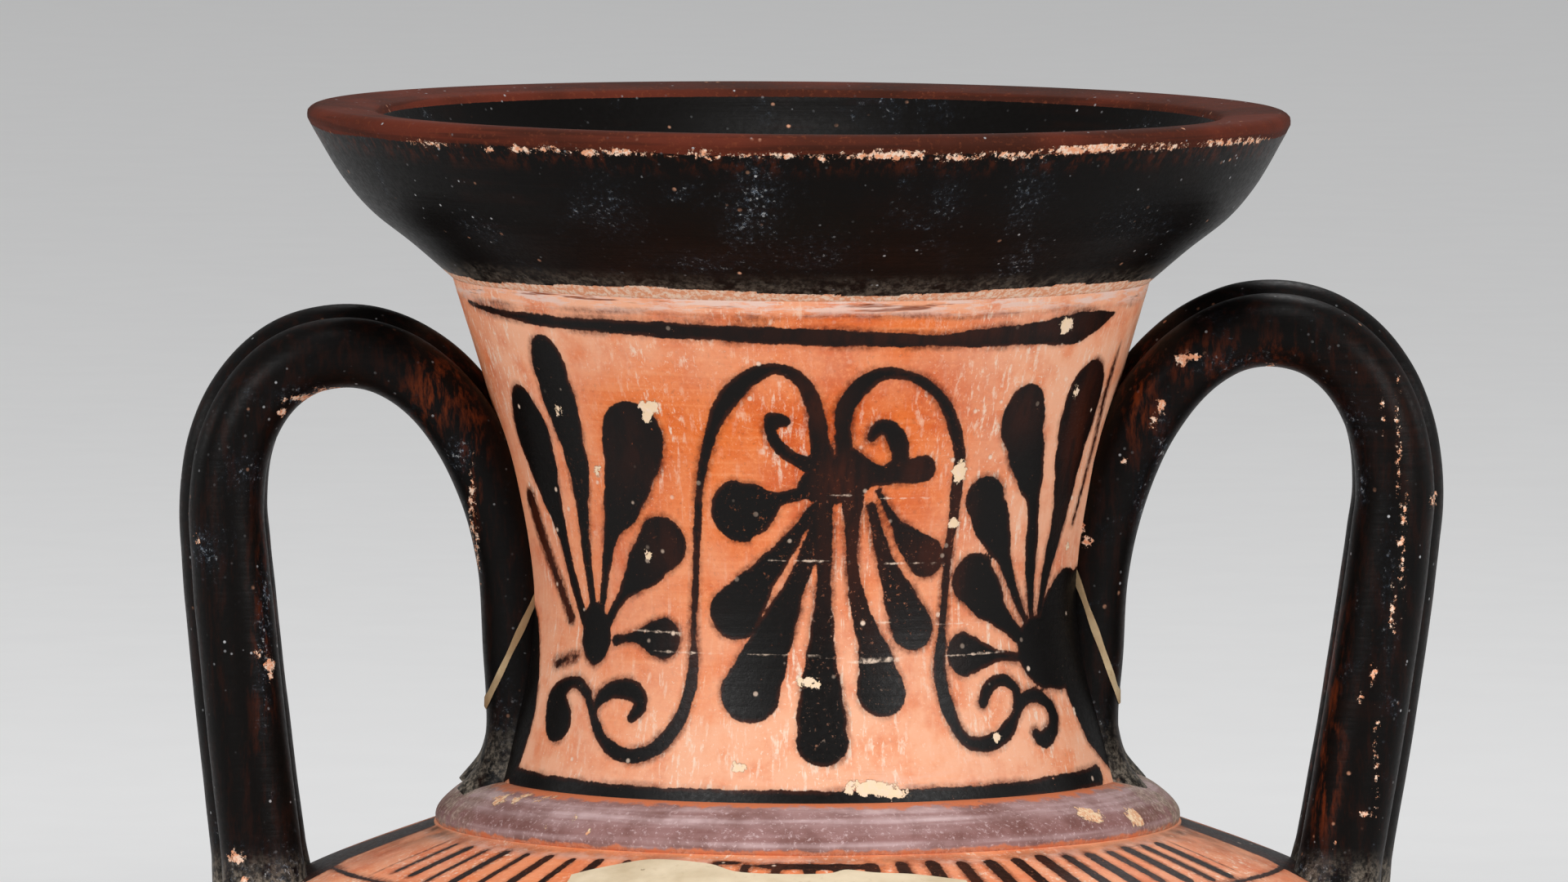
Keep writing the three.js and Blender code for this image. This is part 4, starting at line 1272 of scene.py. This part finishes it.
def sweepTree():
    # draws a section along a path; both come in as curves
    t = Tree("reedSweep", [("Section", "Object"), ("Swell", "Float"), ("Finish", "Material")])
    add = t.add
    section = add("GeometryNodeObjectInfo", {"Object": t.start["Section"]}, "Geometry")
    sideways = {"Curve": t.start["Geometry"], "Normal": (0, 1, 0)}
    level = add("GeometryNodeSetCurveNormal", sideways, mode="FREE")
    inputs = {"Curve": level, "Profile Curve": section, "Scale": add("GeometryNodeInputRadius"),
              "Fill Caps": True}
    swept = add("GeometryNodeCurveToMesh", inputs)
    noise = add("ShaderNodeTexNoise", {"Scale": 55, "Detail": 2}, "Fac")
    push = t.maths("MULTIPLY", t.maths("SUBTRACT", noise, 0.5), t.start["Swell"])
    offset = t.scaled(add("GeometryNodeInputNormal"), push)
    return t.finish(add("GeometryNodeSetPosition", {"Geometry": swept, "Offset": offset}))


def reedOutline(radius):
    # three round reeds side by side with rounded valleys between them
    s = reedSize
    centres = [(-s["pitch"], 0), (0, s["rise"]), (s["pitch"], 0)]
    turn = np.linspace(0, 2 * math.pi, 721)[:-1]
    rays = np.stack([np.cos(turn), np.sin(turn)], axis=1)
    reach = np.linspace(0, s["pitch"] + radius + 1, 900)
    spots = rays[:, None, :] * reach[None, :, None]
    field = np.zeros(spots.shape[:2])
    for cx, cy in centres:
        away = np.hypot(spots[..., 0] - cx, spots[..., 1] - cy)
        field += np.exp(-3.2 * (away - radius))
    inside = np.log(field) > 0
    outer = reach[inside.shape[1] - 1 - np.argmax(inside[:, ::-1], axis=1)]
    ring = rays * outer[:, None]
    ring = np.vstack([ring, ring[:1]])
    length = lengthAlong(ring)
    even = np.linspace(0, length[-1], s["points"] + 1)[:-1]
    return np.stack([np.interp(even, length, ring[:, i]) for i in (0, 1)], axis=1)


def curveObject(name, points, closed, radii=None):
    curve = bpy.data.curves.new(name, "CURVE")
    curve.dimensions = "3D"
    spline = curve.splines.new("POLY")
    spline.points.add(len(points) - 1)
    spline.points.foreach_set("co", np.hstack([points, np.ones((len(points), 1))]).ravel())
    if radii is not None:
        spline.points.foreach_set("radius", radii)
    spline.use_cyclic_u = closed
    return bpy.data.objects.new(name, curve)


def handleLine(h):
    def arc(x, z, a, b, start, stop, count, full=1.0):
        turn = np.linspace(start, stop, count)
        across = np.sign(np.cos(turn)) * np.abs(np.cos(turn)) ** full
        return list(zip(x + a * across, z + b * np.sin(turn) ** full))

    neckX = 36.4
    knots = [(40.2, 211.8), (37.2, 216), (35.9, 221), (35.8, (214 + h["cling"]) / 2 + 2)]
    knots += arc(h["apexX"], h["cling"], h["apexX"] - neckX, h["apexZ"] - h["cling"],
                 math.pi, 0.57 * math.pi, 7)
    knots += arc(h["apexX"], h["bowZ"], h["bowX"] - h["apexX"], h["apexZ"] - h["bowZ"],
                 math.pi / 2, 0, 6, 0.93)
    share = np.linspace(0, 1, 10)[1:]
    foot = h["rootZ"] - 2.5
    knots += list(zip(h["bowX"] - (h["bowX"] - h["rootX"]) * share**1.2,
                      h["bowZ"] - (h["bowZ"] - foot) * share))
    return smoothLine(knots, 0.6)


sweep = sweepTree()
handleMarks = {
    "left": {
        "chips": [
            (-68.2, 230.6, 0.5, 1), (-69.5, 232.6, 0.5, 0.5), (-61.5, 266, 0.8, 0.45),
            (-66.5, 263.4, 0.6, 0.5), (-63.5, 265.2, 2.2, 0.5), (-59, 266, 1.2, 0.45),
            (-72.5, 206.5, 0.9, 0.7), (-71.5, 203.5, 0.5, 0.5), (-42.3, 252, 0.18, 2.6),
            (-41.7, 245, 0.16, 2.2), (-67.5, 252.5, 0.35, 1.2), (-77.5, 247, 0.25, 0.4),
        ],
        "bloom": [
            (-44, 258, 1.4, 1.8, 1), (-68.5, 240, 0.8, 5, 0.7), (-76.5, 246, 2.2, 2.6, 0.7),
            (-63, 265.5, 4, 1.2, 0.8), (-71, 256, 3, 3, 0.4), (-69, 232, 0.8, 7, 0.7),
            (-38, 222, 2, 8, 0.25), (-66, 203, 4, 4, 0.8), (-72.5, 205, 1.5, 2.5, 0.7),
        ],
        "thin": [(-46.5, 266, 3.5, 4, 1), (-42, 258, 1.4, 8, 0.7), (-69, 236, 1.2, 14, 0.35)],
    },
    "right": {
        "chips": [
            (35.5, 248.5, 0.8, 0.7), (36.6, 247, 0.6, 0.5), (41.2, 257.2, 0.35, 0.35),
            (46, 264.4, 0.4, 0.8), (48.6, 270.4, 1, 0.7), (50.4, 270.8, 0.5, 0.5), (45, 262.5, 0.3, 0.7),
            (60, 269.2, 0.5, 0.3), (74.3, 264, 0.2, 1.4), (76.3, 258.5, 0.16, 3.2),
            (77, 250.6, 0.25, 1.8), (76.8, 246, 0.14, 2.4), (81, 252, 0.35, 0.6),
            (75.5, 239.5, 0.16, 1.4), (73, 230, 0.35, 0.8), (71.5, 227, 0.3, 0.6), (73.5, 219, 0.14, 2.2),
            (72, 212, 0.25, 0.3), (68.3, 208, 0.3, 0.3),
        ],
        "bloom": [
            (46, 258, 0.9, 6, 0.7), (43.5, 250, 0.9, 5, 0.8), (39, 215, 4, 3, 0.3), (64, 203, 4, 4, 0.8),
            (70, 262, 2.4, 3, 0.5), (55, 270, 5, 1.2, 0.6), (71.5, 254, 0.8, 3, 0.7),
            (75, 240, 1, 10, 0.35),
        ],
        "thin": [
            (43, 266, 2.2, 6, 0.9), (50, 270, 4, 2.5, 0.5), (68, 236, 1.4, 16, 0.6),
            (66.6, 216, 1.6, 6, 0.9), (58, 271, 6, 2, 0.4),
        ],
    },
}


def cutBy(source, name, planes):
    # a copy of a closed mesh trimmed by planes, each as (point, normal): what lies on the normal's side goes
    work = bmesh.new()
    work.from_mesh(source)
    for point, normal in planes:
        everything = work.verts[:] + work.edges[:] + work.faces[:]
        cut = bmesh.ops.bisect_plane(work, geom=everything, plane_co=point, plane_no=normal,
                                     clear_outer=True)
        edges = [e for e in cut["geom_cut"] if isinstance(e, bmesh.types.BMEdge)]
        bmesh.ops.edgenet_fill(work, edges=edges)
    bmesh.ops.recalc_face_normals(work, faces=work.faces)
    mesh = source.copy()
    mesh.name = name
    work.to_mesh(mesh)
    work.free()
    return placed(name, mesh)


def handlePieces(key):
    h = handleSizes[key]
    side = h["side"]
    line = handleLine(h)
    length = lengthAlong(line)
    share = length / length[-1]
    radii = np.interp(share, reedSize["shares"], reedSize["swell"])
    points = np.stack([side * line[:, 0], np.zeros(len(line)), line[:, 1]], axis=1) * mm
    section = reedOutline(h["reed"])
    if side < 0:
        section[:, 1] *= -1
    corners = np.hstack([section * mm, np.zeros((len(section), 1))])
    sectionObject = curveObject(key + "Section", corners, True)
    bpy.context.scene.collection.objects.link(sectionObject)
    path = curveObject(key + "Path", points, False, radii)
    whole = grow(key + "Sweep", path, sweep,
                 {"Section": sectionObject, "Swell": 0.45 * mm, "Finish": finishes["black"]})
    bpy.data.objects.remove(sectionObject)
    outwards(whole.data)
    co = pointsOf(whole.data)
    front = co[:, 1] < 2
    marks = handleMarks[key]
    chip = np.where(front, blots(co[:, 0], co[:, 2], marks["chips"]), 6)
    chip = np.minimum(chip, 1.75 + 0.12 * np.abs(co[:, 1]))
    bloom = soft(co[:, 0], co[:, 2], marks["bloom"]) * np.where(front, 1, 0.5)
    thin = soft(co[:, 0], co[:, 2], marks["thin"]) + 0.05
    setAmounts(whole, chip=chip, bloom=np.clip(bloom, 0, 1), thin=np.clip(thin, 0, 1))
    nearNeck = np.abs(co[:, 0]) < 56
    crust = np.where(nearNeck, ramp(co[:, 2], 226, 211), ramp(co[:, 2], 208, 200))
    setAmounts(whole, band=-2.0, crust=crust)

    s = breakSize
    slant = math.radians(h["slant"])
    normal = Vector((side * math.cos(slant), 0, math.sin(slant)))
    middle = Vector((side * h["breakX"], 0, s["height"])) * mm
    half = s["width"] / 2 * mm
    name = "handle" + key.capitalize()
    arch = cutBy(whole.data, name + "Reeds", [(middle + normal * half, -normal)])
    stub = cutBy(whole.data, name + "Stub", [(middle - normal * half, normal)])
    slab = [(middle + normal * half, normal), (middle - normal * half, -normal)]
    seam = cutBy(whole.data, name + "Mend", slab)
    bulge(seam.data)
    seam.data.materials.clear()
    seam.data.materials.append(finishes["mend"])
    bpy.data.objects.remove(whole)
    for made in (arch, stub, seam):
        made.data.polygons.foreach_set("use_smooth", [True] * len(made.data.polygons))
        made.data.set_sharp_from_angle(angle=math.radians(50))
    keep(arch, "black_gloss", "handle_" + key)
    keep(stub, "black_gloss", "handle_" + key + "_root")
    keep(seam, "plaster", "handle_" + key + "_seam")


def bulge(mesh):
    # lets the filler stand a little proud, unevenly
    co = np.empty(len(mesh.vertices) * 3)
    mesh.vertices.foreach_get("co", co)
    co = co.reshape(-1, 3)
    normals = np.empty(len(mesh.vertices) * 3)
    mesh.vertices.foreach_get("normal", normals)
    normals = normals.reshape(-1, 3)
    uneven = 0.16 + 0.16 * np.sin(co[:, 2] * 900) * np.sin(co[:, 1] * 700 + 1)
    co += normals * (uneven * mm)[:, None]
    mesh.vertices.foreach_set("co", co.ravel())
    mesh.update()


handlePieces("left")
handlePieces("right")
print("handles ready")


# floor and light

floorSetup = {"radius": 70, "glow": 0.66}
lampSetup = [
    ("keyLamp", (-1.5, -1.9, 1.3), 32, 1.0),
    ("fillLamp", (1.7, -1.7, 1.1), 29, 1.0),
    ("topLamp", (0.1, -0.6, 2.2), 16, 1.0),
    ("leftRim", (-1.7, 0.5, 0.7), 2.5, 0.4),
    ("rightRim", (1.7, 0.5, 0.7), 2.5, 0.4),
    ("backLamp", (0.3, 2.2, 2.4), 12, 1.0),
]


def floorPiece():
    s = floorSetup
    mesh = bpy.data.meshes.new("floor")
    work = bmesh.new()
    bmesh.ops.create_circle(work, cap_ends=True, segments=96, radius=s["radius"])
    work.to_mesh(mesh)
    work.free()
    made = bpy.data.objects.new("floor", mesh)
    bpy.context.scene.collection.objects.link(made)
    f = Finish("glowingFloorPaper")
    flat = f.node("ShaderNodeVectorMath", operation="LENGTH")
    f.tree.links.new(f.coords, flat.inputs[0])
    distance = flat.outputs["Value"]
    fibre = f.noise(30, 4, 0.6)
    # painted light: the floor's colour darkens with distance, standing in for the light's falloff
    colour = f.blend(f.span(distance, 1.8, 7.5, smooth=False), "floorLitNear", "floorShadedFar")
    colour = f.blend(f.span(fibre, 0.3, 0.7, 0, 0.05), colour, "fibre")
    shader = f.node("ShaderNodeBsdfPrincipled")
    f.plug(shader.inputs["Base Color"], colour)
    shader.inputs["Roughness"].default_value = 0.9
    shader.inputs["Specular IOR Level"].default_value = 0.1
    # painted light: the floor glows, dimly near the vase and in its own colour further off
    glowing = f.blend(f.span(distance, 1.0, 2.3), "dim", colour)
    f.plug(shader.inputs["Emission Color"], glowing)
    shader.inputs["Emission Strength"].default_value = s["glow"]
    out = f.node("ShaderNodeOutputMaterial")
    f.tree.links.new(shader.outputs[0], out.inputs["Surface"])
    mesh.materials.append(f.material)


def lamps():
    for name, place, power, size in lampSetup:
        data = bpy.data.lights.new(name, "AREA")
        data.shape = "DISK"
        data.size = size
        data.energy = power
        lamp = bpy.data.objects.new(name, data)
        lamp.location = place
        aim = Vector((0, 0, 0.2)) - Vector(place)
        lamp.rotation_euler = aim.to_track_quat("-Z", "Y").to_euler()
        bpy.context.scene.collection.objects.link(lamp)
    world = bpy.data.worlds.new("studio")
    bpy.context.scene.world = world
    world.use_nodes = True
    back = world.node_tree.nodes["Background"]
    back.inputs["Color"].default_value = (0.78, 0.79, 0.8, 1)
    back.inputs["Strength"].default_value = 0.33


floorPiece()
lamps()
print("floor and lamps ready")
